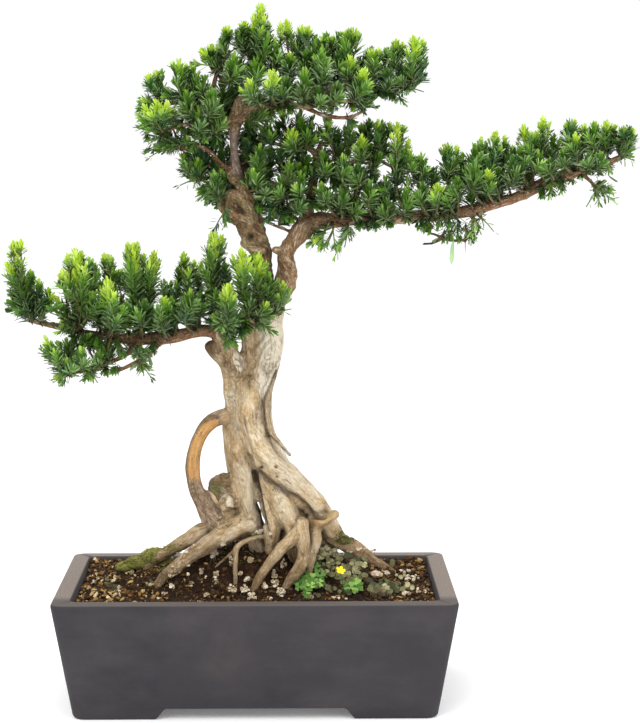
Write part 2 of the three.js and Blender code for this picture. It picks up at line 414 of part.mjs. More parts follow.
// Keeps what is placed as small balls in a grid, so that a new leaf can be shortened until it is clear.
class Crowd {
  constructor(cell) {
    this.cell = cell;
    this.balls = new Map();
  }

  key(i, j, k) {
    return `${i},${j},${k}`;
  }

  add(centre, radius, owner, node) {
    const cell = [centre.x, centre.y, centre.z].map((v) => Math.floor(v / this.cell));
    const key = this.key(...cell);
    if (!this.balls.has(key)) this.balls.set(key, []);
    this.balls.get(key).push({ centre, radius, owner, node });
  }

  // Whether a ball would touch another shoot or, with a node given, another spray.
  blocks(centre, radius, owner, node) {
    const [a, b, c] = [centre.x, centre.y, centre.z].map((v) => Math.floor(v / this.cell));
    for (let i = a - 1; i <= a + 1; i++) {
      for (let j = b - 1; j <= b + 1; j++) {
        for (let k = c - 1; k <= c + 1; k++) {
          for (const ball of this.balls.get(this.key(i, j, k)) || []) {
            const foreign = node ? ball.node !== node : ball.owner !== owner;
            if (foreign && ball.centre.distanceTo(centre) < ball.radius + radius) return true;
          }
        }
      }
    }
    return false;
  }
}

const crowd = new Crowd(8);
const LINE_STEP = 2;

function addLine(from, to, radius, owner, node) {
  const steps = Math.max(1, Math.ceil(from.distanceTo(to) / LINE_STEP));
  for (let i = 0; i <= steps; i++) crowd.add(from.clone().lerp(to, i / steps), radius, owner, node);
}

// The longest share of a leaf that stays clear of the wood and of every other shoot.
function clearLeaf(root, direction, leaf, owner, node) {
  for (const share of [1, 0.86, 0.72, 0.58, 0.45, 0.33]) {
    const reach = leaf * share;
    let clear = true;
    for (let at = 1; at <= reach + 0.4 && clear; at += 1.3) {
      const place = root.clone().addScaledVector(direction, at);
      const girth = 1.9 * (1 - at / (reach + 1)) + 0.15;
      clear = nearestWood(place).distance > girth + 0.75 && !crowd.blocks(place, girth + 0.6, owner, node);
      clear = clear && (at < 3 || !crowd.blocks(place, girth + 0.3, owner));
    }
    if (clear) return reach;
  }
  return 0;
}

// A mesh under construction: points and triangles that grow from one small knot.
class Growth {
  constructor(centre, radius, stalks) {
    const Knot = stalks < 6 ? THREE.OctahedronGeometry : THREE.IcosahedronGeometry;
    const knot = new Knot(radius, 0);
    knot.deleteAttribute("normal");
    knot.deleteAttribute("uv");
    const merged = mergeVertices(knot, 1e-3);
    const place = new THREE.Vector3();
    this.positions = [];
    for (let i = 0; i < merged.attributes.position.count; i++) {
      place.fromBufferAttribute(merged.attributes.position, i).add(centre);
      this.positions.push(place.x, place.y, place.z);
    }
    this.free = [];
    const index = Array.from(merged.index.array);
    for (let i = 0; i < index.length; i += 3) this.free.push(index.slice(i, i + 3));
    this.triangles = [];
    this.centre = centre;
  }

  at(index) {
    return new THREE.Vector3().fromArray(this.positions, index * 3);
  }

  push(point) {
    this.positions.push(point.x, point.y, point.z);
    return this.positions.length / 3 - 1;
  }

  outwardOf(corners) {
    const middle = corners.reduce((sum, c) => sum.add(this.at(c)), new THREE.Vector3()).divideScalar(3);
    return middle.sub(this.centre).normalize();
  }

  // Gives each direction a facet of the knot, so that all lie as near to their facets as they can.
  takeFacets(directions) {
    const normals = this.free.map((corners) => this.outwardOf(corners));
    const taken = [];
    for (const direction of directions) {
      let best = -1;
      normals.forEach((normal, i) => {
        if (!taken.includes(i) && (best < 0 || normal.dot(direction) > normals[best].dot(direction))) best = i;
      });
      taken.push(best);
    }
    for (let pass = 0; pass < 4; pass++) {
      for (let i = 0; i < taken.length; i++) {
        for (let j = i + 1; j < taken.length; j++) {
          const now = normals[taken[i]].dot(directions[i]) + normals[taken[j]].dot(directions[j]);
          const swapped = normals[taken[j]].dot(directions[i]) + normals[taken[i]].dot(directions[j]);
          if (swapped > now) [taken[i], taken[j]] = [taken[j], taken[i]];
        }
      }
    }
    const facets = taken.map((i) => this.free[i]);
    this.free = this.free.filter((_, i) => !taken.includes(i));
    return facets;
  }

  // Three more points across a direction, turned to follow the corners below them, and the six triangles between.
  extend(corners, centre, direction, reach, half = 0) {
    const low = corners.reduce((sum, c) => sum.add(this.at(c)), new THREE.Vector3()).divideScalar(3);
    const first = this.at(corners[0]).sub(low);
    const across = first.addScaledVector(direction, -first.dot(direction)).normalize();
    const side = direction.clone().cross(across);
    return [0, 1, 2].map((k) => {
      const turn = (2 * Math.PI * (k + half)) / 3;
      return this.push(centre.clone().addScaledVector(across, Math.cos(turn) * reach)
        .addScaledVector(side, Math.sin(turn) * reach));
    });
  }

  band(low, high) {
    for (let k = 0; k < 3; k++) {
      const next = (k + 1) % 3;
      this.triangles.push(low[k], low[next], high[next], low[k], high[next], high[k]);
    }
  }

  cap(corners) {
    this.triangles.push(...corners);
  }

  solid() {
    for (const corners of this.free) this.cap(corners);
    return manifoldOf(this.positions, this.triangles);
  }
}

// One shoot: a thin stalk from a facet of the knot, then a slim tapering core in rows of triangles, each drawn
// out into a leaf that leans forwards.
function growShoot(growth, facet, shoot, owner, draw) {
  const { base, axis, length, leaf, youth } = shoot;
  const rows = Math.max(1, Math.round(length / BAND_HEIGHT));
  const away = base.clone().sub(growth.centre).normalize();
  const bend = away.add(axis).normalize();
  let low = growth.extend(facet, base.clone().addScaledVector(bend, -0.5), bend, STEM_RADIUS);
  growth.band(facet, low);
  const facets = [];
  for (let r = 1; r <= rows; r++) {
    const centre = base.clone().addScaledVector(axis, (r / rows) * length);
    const high = growth.extend(low, centre, axis, CORE_RADIUS * (1.1 - (0.3 * r) / rows), 0.5);
    for (let k = 0; k < 3; k++) {
      const next = (k + 1) % 3;
      facets.push({ corners: [low[k], low[next], high[k]], row: r - 0.67 });
      facets.push({ corners: [low[next], high[next], high[k]], row: r - 0.33 });
    }
    low = high;
  }
  const end = growth.push(base.clone().addScaledVector(axis, length + 2.5));
  for (let k = 0; k < 3; k++) facets.push({ corners: [low[k], low[(k + 1) % 3], end], row: rows + 0.33 });
  for (const { corners, row } of facets) {
    const root = corners.reduce((sum, c) => sum.add(growth.at(c)), new THREE.Vector3()).divideScalar(3);
    const outward = root.clone().sub(base);
    outward.addScaledVector(axis, -outward.dot(axis)).normalize();
    const rise = THREE.MathUtils.lerp(0.28, 1.25, row / (rows + 0.33)) + 0.25 * youth;
    const direction = outward.addScaledVector(axis, rise).normalize();
    const reach = clearLeaf(root, direction, leaf * (0.84 + 0.22 * draw()), owner, shoot.name);
    if (reach === 0) {
      growth.cap(corners);
      continue;
    }
    for (let at = 2; at < reach; at += LINE_STEP) {
      crowd.add(root.clone().addScaledVector(direction, at), 2.1 * (1 - at / (reach + 1)) + 0.3, owner, shoot.name);
    }
    const tip = growth.push(root.addScaledVector(direction, reach));
    const [a, b, c] = corners;
    growth.triangles.push(a, b, tip, b, c, tip, c, a, tip);
  }
}

// How much of a straight stalk from a knot to a shoot's base would run through the wood.
function stalkInWood(knot, base) {
  let blocked = 0;
  const span = knot.distanceTo(base);
  for (let at = 3; at < span; at += 2) {
    if (nearestWood(knot.clone().lerp(base, at / span)).distance < STEM_RADIUS + 0.6) blocked += 1;
  }
  return blocked;
}

// Where a spray leaves the wood: a foot inside the wood and a knot just outside it, which all its stalks share.
const knots = [];

function knotOf(shoots) {
  const middle = shoots.reduce((sum, s) => sum.add(s.base), new THREE.Vector3()).divideScalar(shoots.length);
  const sites = [middle, ...shoots.map((s) => s.base.clone().lerp(middle, 0.4)), ...shoots.map((s) => s.base)];
  let best = null;
  for (const site of sites) {
    const wood = nearestWood(site);
    const away = site.clone().sub(wood.point).normalize();
    const knot = wood.point.clone().addScaledVector(away, wood.radius + KNOT_RADIUS + 1.5);
    const crowded = knots.some((other) => other.distanceTo(knot) < 4 * KNOT_RADIUS) ? 100 : 0;
    const blocked = shoots.reduce((sum, s) => sum + stalkInWood(knot, s.base), crowded);
    if (!best || blocked < best.blocked) best = { blocked, foot: wood.point, knot };
  }
  knots.push(best.knot);
  return best;
}

function growSprays(seat) {
  const draw = drawer(29);
  const sprays = Object.keys(SPRAYS).map((name) => {
    const shoots = shootsOf(name);
    return { name, shoots, ...knotOf(shoots) };
  });
  for (const { name, shoots, knot } of sprays) {
    crowd.add(knot, KNOT_RADIUS + 0.3, name, name);
    shoots.forEach((shoot, i) => {
      addLine(shoot.base, shoot.base.clone().addScaledVector(shoot.axis, shoot.length), CORE_RADIUS + 0.5, `${name}${i}`, name);
      addLine(knot, shoot.base, STEM_RADIUS + 0.3, name, name);
      addLine(knot, knot.clone().lerp(shoot.base, Math.min(1, 7 / knot.distanceTo(shoot.base))), 2.4, name, name);
    });
  }
  return sprays.map(({ name, shoots, foot, knot }) => {
    const growth = new Growth(knot, KNOT_RADIUS, shoots.length + 1);
    const down = foot.clone().sub(knot).normalize();
    const directions = [down, ...shoots.map((s) => s.base.clone().sub(knot).normalize())];
    const [stalkFacet, ...facets] = growth.takeFacets(directions);
    const foothold = growth.extend(stalkFacet, foot, down, 1.8);
    growth.band(stalkFacet, foothold);
    growth.cap(foothold);
    shoots.forEach((shoot, i) => growShoot(growth, facets[i], shoot, `${name}${i}`, draw));
    return { name, solid: largest(growth.solid().subtract(seat)) };
  });
}

// Pot

function roundedRect(width, depth, radius, z) {
  const points = [];
  const corner = [[1, 1, 0], [-1, 1, 1], [-1, -1, 2], [1, -1, 3]];
  for (const [sx, sy, quarter] of corner) {
    for (let i = 0; i <= 2; i++) {
      const turn = ((quarter + i / 2) * Math.PI) / 2;
      points.push(new THREE.Vector3(
        sx * (width / 2 - radius) + Math.cos(turn) * radius,
        sy * (depth / 2 - radius) + Math.sin(turn) * radius, z));
    }
  }
  return points;
}

const outerAt = (z) => POT_TOP.map((top, i) => THREE.MathUtils.lerp(POT_FOOT[i], top, z / POT_HEIGHT));
const FLOOR_Z = FOOT_HEIGHT + FLOOR_THICKNESS;

// The hollow of the pot, less or more by an inset.
function hollow(inset, low, high) {
  const rings = [low, high].map((z) => {
    const share = (z - FLOOR_Z) / (POT_HEIGHT - FLOOR_Z);
    const wall = THREE.MathUtils.lerp(WALL_AT_FLOOR, RIM_WALL, share) + inset;
    const [w, d] = outerAt(z);
    return roundedRect(w - 2 * wall, d - 2 * wall, POT_CORNER - 2, z);
  });
  return rings;
}

// A bar with a trapezium for its section, lying along the turned Y axis.
function footGap([atGround, atTop], turned) {
  const rows = [[-atGround - 1, -1], [atGround + 1, -1], [atGround, 0], [atTop, FOOT_HEIGHT], [-atTop, FOOT_HEIGHT],
    [-atGround, 0]];
  const rings = [-300, 300].map((y) => rows.map(([x, z]) =>
    (turned ? new THREE.Vector3(y, x, z) : new THREE.Vector3(x, y, z))));
  return skin(rings);
}

function potSolid() {
  const rounds = [[0, -2.2], [1.4, -0.7], [4, 0]].map(([z, out]) => [z, out]);
  const rings = rounds.map(([z, out]) => {
    const [w, d] = outerAt(z);
    return roundedRect(w + 2 * out, d + 2 * out, POT_CORNER - 1, z);
  });
  [[POT_HEIGHT - EDGE_ROUND, 0], [POT_HEIGHT - EDGE_ROUND * 0.3, -0.7], [POT_HEIGHT, -EDGE_ROUND]].forEach(
    ([z, out]) => {
      const [w, d] = outerAt(z);
      rings.push(roundedRect(w + 2 * out, d + 2 * out, POT_CORNER, z));
    });
  const lip = hollow(0, FLOOR_Z, POT_HEIGHT - EDGE_ROUND);
  const [w, d] = outerAt(POT_HEIGHT);
  lip.push(roundedRect(w - 2 * RIM_WALL + 2 * EDGE_ROUND, d - 2 * RIM_WALL + 2 * EDGE_ROUND, POT_CORNER, POT_HEIGHT + 0.01));
  let pot = skin(rings).subtract(skin(lip));
  pot = pot.subtract(footGap(FOOT_GAP_LONG, false)).subtract(footGap(FOOT_GAP_SHORT, true));
  for (const x of [-DRAIN_X, DRAIN_X]) {
    const drain = new THREE.CylinderGeometry(DRAIN_RADIUS, DRAIN_RADIUS, 40, 20);
    drain.rotateX(Math.PI / 2).translate(x, 0, FLOOR_Z - 10);
    pot = pot.subtract(solidOf(drain));
  }
  return pot;
}

// A square mesh lying over a drain hole.
function screenSolid(x) {
  const plate = new THREE.BoxGeometry(SCREEN_SIZE, SCREEN_SIZE, SCREEN_THICKNESS);
  plate.translate(x, 0, FLOOR_Z + GAP + SCREEN_THICKNESS / 2);
  const holes = [];
  for (const i of [-1, 1]) {
    for (const j of [-1, 1]) {
      const hole = new THREE.BoxGeometry(16, 16, 6);
      hole.translate(x + i * 10, j * 10, FLOOR_Z + 1);
      holes.push(solidOf(hole));
    }
  }
  return solidOf(plate).subtract(joined(holes));
}

// Soil

function ground(x, y) {
  const [reachX, front, back] = MOUND_REACH;
  const dx = (x - MOUND_CENTRE[0]) / reachX;
  const dy = (y - MOUND_CENTRE[1]) / (y < MOUND_CENTRE[1] ? front : back);
  const bumps = 1.1 * Math.sin(x / 9.3 + y / 21) * Math.cos(y / 11.7 - x / 31) + 0.7 * Math.sin(x / 4.1 - y / 6.3);
  return SOIL_LEVEL + MOUND_HEIGHT * Math.exp(-dx * dx - dy * dy) + bumps;
}

// A slab whose top and underside follow two height functions over a rectangle of columns.
function blanket(columnsX, columnsY, topAt, underAt) {
  const positions = [];
  const indices = [];
  const nx = columnsX.length;
  const ny = columnsY.length;
  for (const height of [underAt, topAt]) {
    for (const y of columnsY) for (const x of columnsX) positions.push(x, y, height(x, y));
  }
  const at = (layer, i, j) => layer * nx * ny + j * nx + i;
  for (let j = 0; j + 1 < ny; j++) {
    for (let i = 0; i + 1 < nx; i++) {
      indices.push(at(0, i, j), at(0, i, j + 1), at(0, i + 1, j + 1), at(0, i, j), at(0, i + 1, j + 1), at(0, i + 1, j));
      indices.push(at(1, i, j), at(1, i + 1, j), at(1, i + 1, j + 1), at(1, i, j), at(1, i + 1, j + 1), at(1, i, j + 1));
    }
  }
  const wall = (i0, j0, i1, j1) => indices.push(at(0, i0, j0), at(0, i1, j1), at(1, i1, j1),
    at(0, i0, j0), at(1, i1, j1), at(1, i0, j0));
  for (let i = 0; i + 1 < nx; i++) {
    wall(i, 0, i + 1, 0);
    wall(i + 1, ny - 1, i, ny - 1);
  }
  for (let j = 0; j + 1 < ny; j++) {
    wall(nx - 1, j, nx - 1, j + 1);
    wall(0, j + 1, 0, j);
  }
  return manifoldOf(positions, indices);
}

const evenly = (from, to, count) => Array.from({ length: count + 1 }, (_, i) => from + ((to - from) * i) / count);

function soilSolid() {
  const block = blanket(evenly(-230, 230, 16), evenly(-140, 140, 8), ground, () => 0);
  return block.intersect(skin(hollow(GAP, FLOOR_Z + GAP, POT_HEIGHT + 60)));
}

// Small plants

// A thin blade with an outline given as [along, across] points, laid from a place along a direction.
function blade(outline, thickness, place, along, up) {
  const across = up.clone().cross(along).normalize();
  const face = along.clone().cross(across).normalize();
  const at = ([u, v], lift) => place.clone().addScaledVector(along, u).addScaledVector(across, v)
    .addScaledVector(face, lift + 0.012 * (u * u + v * v));
  const positions = [];
  for (const lift of [-thickness / 2, thickness / 2]) {
    for (const p of outline) positions.push(...at(p, lift).toArray());
  }
  const count = outline.length;
  const indices = [];
  for (const [a, b, c] of THREE.ShapeUtils.triangulateShape(outline.map((p) => new THREE.Vector2(...p)), [])) {
    indices.push(a, c, b, a + count, b + count, c + count);
  }
  for (let i = 0; i < count; i++) {
    const j = (i + 1) % count;
    indices.push(i, j, j + count, i, j + count, i + count);
  }
  return manifoldOf(positions, indices);
}

// Three hearts round a point, as one outline.
const TREFOIL = [0, 1, 2].flatMap((k) => [[6.8, -25], [6.8, 25], [1.2, 60]].map(([reach, degrees]) => {
  const turn = THREE.MathUtils.degToRad(degrees + 120 * k);
  return [Math.cos(turn) * reach, Math.sin(turn) * reach];
}));
const ROUND_LEAF = [[-0.6, -0.6], [2.2, -2.8], [6, -1.6], [6, 1.6], [2.2, 2.8], [-0.6, 0.6]];

function sorrelSolid(root, heads, draw) {
  const parts = [stem([root.clone().setZ(root.z - 7), root.clone().setZ(root.z + 3)], [2, 2.2], 5)];
  for (const head of heads) {
    const middle = root.clone().lerp(head, 0.5).add(new THREE.Vector3(0, 0, 3));
    parts.push(stem([root.clone().setZ(root.z + 2), middle, head], [0.9, 0.8, 0.8], 3));
    const turn = draw() * 6.28;
    const along = new THREE.Vector3(Math.cos(turn), Math.sin(turn), 0);
    const up = new THREE.Vector3((draw() - 0.5) * 0.5, -0.45, 1).normalize();
    along.addScaledVector(up, -along.dot(up)).normalize();
    parts.push(blade(TREFOIL, 0.9, head, along, up));
  }
  return joined(parts);
}

function creeperSolid(root, runs, draw) {
  const parts = [stem([root.clone().setZ(root.z - 7), root.clone().setZ(root.z + 2.4)], [1.6, 1.6], 5)];
  for (const run of runs) {
    parts.push(stem([root.clone().setZ(root.z + 2), ...run], [1.1, ...run.map(() => 0.8)], 3));
    for (const place of run) {
      const turn = draw() * 6.28;
      const along = new THREE.Vector3(Math.cos(turn), Math.sin(turn), 0.5).normalize();
      parts.push(blade(ROUND_LEAF, 0.8, place, along, new THREE.Vector3(0, -0.35, 1).normalize()));
    }
  }
  return joined(parts);
}

function flowerSolid(place) {
  const outline = [];
  for (let k = 0; k < 10; k++) {
    const reach = k % 2 ? 2.1 : 5.2;
    const turn = (k * Math.PI) / 5;
    outline.push([Math.cos(turn) * reach, Math.sin(turn) * reach]);
  }
  const up = new THREE.Vector3(0.1, -0.6, 0.8).normalize();
  return blade(outline, 1.2, place, new THREE.Vector3(1, 0, 0), up);
}

function stoneSolid(place, size, seed) {
  const draw = drawer(seed);
  const ball = new THREE.IcosahedronGeometry(1, 1);
  ball.deleteAttribute("normal");
  ball.deleteAttribute("uv");
  const merged = mergeVertices(ball, 1e-3);
  const position = merged.attributes.position;
  for (let i = 0; i < position.count; i++) {
    const p = new THREE.Vector3().fromBufferAttribute(position, i).multiplyScalar(0.88 + 0.2 * draw());
    position.setXYZ(i, place.x + p.x * size[0], place.y + p.y * size[1], place.z + p.z * size[2]);
  }
  return manifoldOf(Array.from(position.array), Array.from(merged.index.array));
}

// Assembly

const group = new THREE.Group();
group.name = "buddhist_pine_bonsai";

function addPart(name, solid, color, roughness) {
  const material = new THREE.MeshStandardMaterial({ color, roughness, metalness: 0 });
  const mesh = new THREE.Mesh(geometryOf(solid), material);
  mesh.name = name;
  group.add(mesh);
}

const onGround = (x, y, lift = 0) => new THREE.Vector3(x, y, ground(x, y) + lift);

const wood = woodSolid(0);
const seat = woodSolid(GROW);

const SORREL_ROOT = onGround(76, -62);
const SORREL_HEADS = [[58, -74, 11], [70, -82, 8], [71, -57, 17], [85, -76, 13], [99, -80, 8]]
  .map(([x, y, lift]) => onGround(x, y, lift));
const FLOWER_PLACE = onGround(92, -62, 21);
const flowerStalk = stem([SORREL_ROOT, onGround(85, -63, 12), FLOWER_PLACE.clone().add(new THREE.Vector3(0, 0.9, -1.2))],
  [0.9, 0.8, 0.8], 4);
const sorrel = sorrelSolid(SORREL_ROOT, SORREL_HEADS, drawer(5)).add(flowerStalk);
const flower = flowerSolid(FLOWER_PLACE);

const CREEPER_LEFT = onGround(-78, -58);
const creeperLeft = creeperSolid(CREEPER_LEFT, [
  [onGround(-90, -64, 7), onGround(-102, -70, 8)], [onGround(-68, -70, 8)], [onGround(-68, -50, 8)]], drawer(8));
const CREEPER_FRONT = onGround(10, -78);
const creeperFront = creeperSolid(CREEPER_FRONT, [
  [onGround(20, -84, 7), onGround(30, -88, 8)], [onGround(-2, -84, 8)], [onGround(14, -66, 8)]], drawer(9));

const STONE_PLACE = onGround(132, -52, 1);
const stone = stoneSolid(STONE_PLACE, [11, 8, 6], 3);
const stoneSeat = stoneSolid(STONE_PLACE, [11.35, 8.35, 6.35], 3);

const plainHole = (root, radius) =>
  stem([root.clone().setZ(root.z - 7 - GAP), root.clone().setZ(root.z + 20)], [radius, radius], 8);

const screens = [-DRAIN_X, DRAIN_X].map((x) => {
  const pocket = new THREE.BoxGeometry(SCREEN_SIZE + 2 * GAP, SCREEN_SIZE + 2 * GAP, SCREEN_THICKNESS + 2 * GAP);
  pocket.translate(x, 0, FLOOR_Z + GAP + SCREEN_THICKNESS / 2);
  return { solid: screenSolid(x), pocket: solidOf(pocket) };
});

let soil = soilSolid().subtract(seat).subtract(stoneSeat);
soil = soil.subtract(plainHole(SORREL_ROOT, 3)).subtract(plainHole(CREEPER_LEFT, 2.6));
soil = soil.subtract(plainHole(CREEPER_FRONT, 2.6));
for (const { pocket } of screens) soil = soil.subtract(pocket);
soil = largest(soil);

addPart("pot", potSolid(), 0x544e52, 0.85);
addPart("soil", soil, 0x4a372a, 1);
addPart("wood", wood, 0x9c7c55, 0.9);
addPart("drain_screen_left", screens[0].solid, 0x2b2b2b, 0.7);
addPart("drain_screen_right", screens[1].solid, 0x2b2b2b, 0.7);
addPart("wood_sorrel", sorrel, 0x6f9a3c, 0.7);
addPart("sorrel_flower", flower, 0xf2cf2a, 0.6);
addPart("dry_creeper_left", creeperLeft, 0xcbb98c, 0.9);
addPart("dry_creeper_front", creeperFront, 0xcbb98c, 0.9);
addPart("stone", stone, 0xd8cfb8, 0.8);

const LEAF_SHADES = [0x2c5228, 0x35602d, 0x44752f];
growSprays(seat).forEach(({ name, solid }, i) => {
  addPart(`spray_${name}`, solid, LEAF_SHADES[i % LEAF_SHADES.length], 0.55);
});

// The origin goes under the middle of the whole object.
const box = new THREE.Box3().setFromObject(group);
for (const mesh of group.children) {
  mesh.geometry.translate(-(box.min.x + box.max.x) / 2, -(box.min.y + box.max.y) / 2, 0);
}

export default group;
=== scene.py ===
# A buddhist pine bonsai in its rectangular clay pot. The solids give every size; this file gives them their
# looks: one skin over the fused wood, single leaves on every shoot, granular soil, moss and small plants.

import bpy
import bmesh
import math
import numpy as np
import openvdb
from mathutils import Euler, Matrix, Vector


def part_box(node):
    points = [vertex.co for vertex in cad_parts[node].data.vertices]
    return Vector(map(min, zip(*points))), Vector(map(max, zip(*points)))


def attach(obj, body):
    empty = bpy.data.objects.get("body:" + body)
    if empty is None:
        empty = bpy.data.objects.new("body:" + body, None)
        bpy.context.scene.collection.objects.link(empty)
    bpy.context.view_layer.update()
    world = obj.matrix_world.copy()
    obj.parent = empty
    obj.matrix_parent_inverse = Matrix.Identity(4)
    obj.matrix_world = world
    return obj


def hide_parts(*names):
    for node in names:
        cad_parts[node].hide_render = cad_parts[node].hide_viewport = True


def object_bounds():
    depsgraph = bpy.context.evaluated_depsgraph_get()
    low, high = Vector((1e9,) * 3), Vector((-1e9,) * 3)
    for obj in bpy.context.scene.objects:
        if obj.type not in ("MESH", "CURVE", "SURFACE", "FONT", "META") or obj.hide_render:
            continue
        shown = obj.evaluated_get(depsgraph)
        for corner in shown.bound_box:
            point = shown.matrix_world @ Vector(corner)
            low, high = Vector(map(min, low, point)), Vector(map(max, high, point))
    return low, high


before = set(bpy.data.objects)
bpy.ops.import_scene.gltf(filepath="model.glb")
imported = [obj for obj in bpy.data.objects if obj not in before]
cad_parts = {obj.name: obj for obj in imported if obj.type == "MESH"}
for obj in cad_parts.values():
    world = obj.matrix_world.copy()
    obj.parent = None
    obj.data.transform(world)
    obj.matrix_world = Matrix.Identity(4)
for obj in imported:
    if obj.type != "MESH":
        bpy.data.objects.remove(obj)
cad_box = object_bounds()

MM = 0.001
pot_low, pot_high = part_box("pot")
SHIFT = np.array([(pot_low[0] + pot_high[0]) / 2 / MM, (pot_low[1] + pot_high[1]) / 2 / MM, 0.0])

# Sizes in millimetres, as in the solids.
POT_TOP = (420, 250)
POT_FOOT = (379, 216)
POT_HEIGHT = 125
POT_CORNER = 12
INNER_CORNER = 9
RIM_WALL = 20
WALL_AT_FLOOR = 17
FOOT_HEIGHT = 12
FLOOR_Z = 24
FOOT_GAP_LONG = (103, 92)
FOOT_GAP_SHORT = (60, 50)
DRAIN_X = 78
DRAIN_RADIUS = 12
SOIL_LEVEL = 117
MOUND_HEIGHT = 44
MOUND_CENTRE = (6, 20)
MOUND_REACH = (105, 38, 52)

# A leaf's length as a share of its shoot's radius.
LEAF_BY_RADIUS = 1.2
# The eye of the front view, and how far the depths of sprays are spread from the tree's middle plane.
EYE = np.array([38.0, -2125.0, 626.0])
DEPTH_SPREAD = 1.35


def seen(x, z, depth):
    """A point of the front view, slid along the line of sight to its depth, in millimetres."""
    share = (depth - EYE[1]) / -EYE[1]
    return np.array([EYE[0] + (x - EYE[0]) * share, depth, EYE[2] + (z - EYE[2]) * share])


def rows_of(text):
    """Rows of numbers from a text: a comma or the end of a line ends a row."""
    rows = text.replace("\n", ",").split(",")
    return [[float(word) for word in row.split()] for row in rows if row.strip()]


def tables_of(text):
    """Named tables of numbers: a name and a colon start a table, which may go on over the next lines."""
    tables = {}
    for line in text.strip().splitlines():
        if ":" in line:
            name, line = line.split(":")
        tables[name] = tables.get(name, []) + rows_of(line)
    return tables


def strands_of(text):
    """Strands of wood from named tables, each with its number of sides before its points."""
    return [[name, int(sides[0]), points] for name, (sides, *points) in tables_of(text).items()]


# Wood: a strand has its name, its number of sides and the points of its middle line. A point has x, z, depth
# and radius in the front view.
TRUNK_STRANDS = strands_of("""
left_leg: 6, -21 352 4 10, -19 320 6 13, -18 290 6 14.5, -18 262 5 13.5, -14 235 3 13, -10 208 2 12.2
-5 186 4 12.6, 2 165 10 12, 5 140 14 8
left_back: 6, -10 352 8 9, -18 322 13 11, -22 290 19 13, -20 255 22 13, -16 222 24 12, -12 190 26 12
-12 160 30 11, -20 135 36 7
heartwood: 6, -2 350 8 14, -4 318 6 16, -4 290 7 17, 4 262 10 18, 16 235 14 19, 28 208 18 20, 34 182 20 20
32 155 20 16, 30 132 20 9
diagonal: 6, -8 332 -6 11, -7 300 -8 12, 2 271 -8 13.5, 18 247 -6 15, 38 229 -3 15, 54 212 2 13.5
68 197 8 12.5, 76 181 14 12, 90 165 22 9.5, 110 155 32 7.5, 127 141 40 6, 142 133 45 5, 158 122 52 3.5
shoulder: 6, 6 356 7 10, 5 328 10 10, 6 300 15 10, 12 272 18 12, 26 244 20 13, 44 218 24 14, 58 192 28 14.5
70 166 34 12, 82 146 46 8, 96 126 62 5
shin: 6, 10 232 -2 10, 22 214 -6 12, 32 196 -8 13, 40 180 -8 12, 44 164 -4 10, 42 142 4 7
""")
LIMBS = strands_of("""
deadwood: 7, -4 318 6 13, 4 342 6 15, 11 366 6 16, 13 388 6 16, 12 408 6 14, 11 428 6 12
left_arm: 7, -20 330 6 13, -24 348 5 11, -28 364 3 10, -33 378 1 9.5, -37 390 0 8
stump: 6, -32 360 2 7, -41 368 0 7, -48 376 -1 6.5
dead_lip: 6, -3 336 4 10, -5 354 2 9, -7 374 1 8, -7 392 2 8, -4 408 4 7
left_leader: 7, 12 408 6 13, 9 430 7 11, 8 455 8 9.8, 6 478 8 11, -2 495 8 13.5, -8 510 9 13.5
-14 524 10 13, -14 538 10 11, -17 551 9 8, -20 565 8 6.2, -22 582 8 5.4, -22 600 8 5.8, -20 617 8 7.4
-17 632 7 6.5
burl: 6, -20 514 2 7, -26 522 1 9.5, -24 533 3 7
right_leader: 7, 13 404 4 12, 23 424 2 10, 32.3 445 0 9.8, 33.2 461 -1 10.4, 33 474 -2 9.4, 39 486 -3 9.5
47 496 -4 10, 56 505 -4 9, 68 510 -3 8
""")
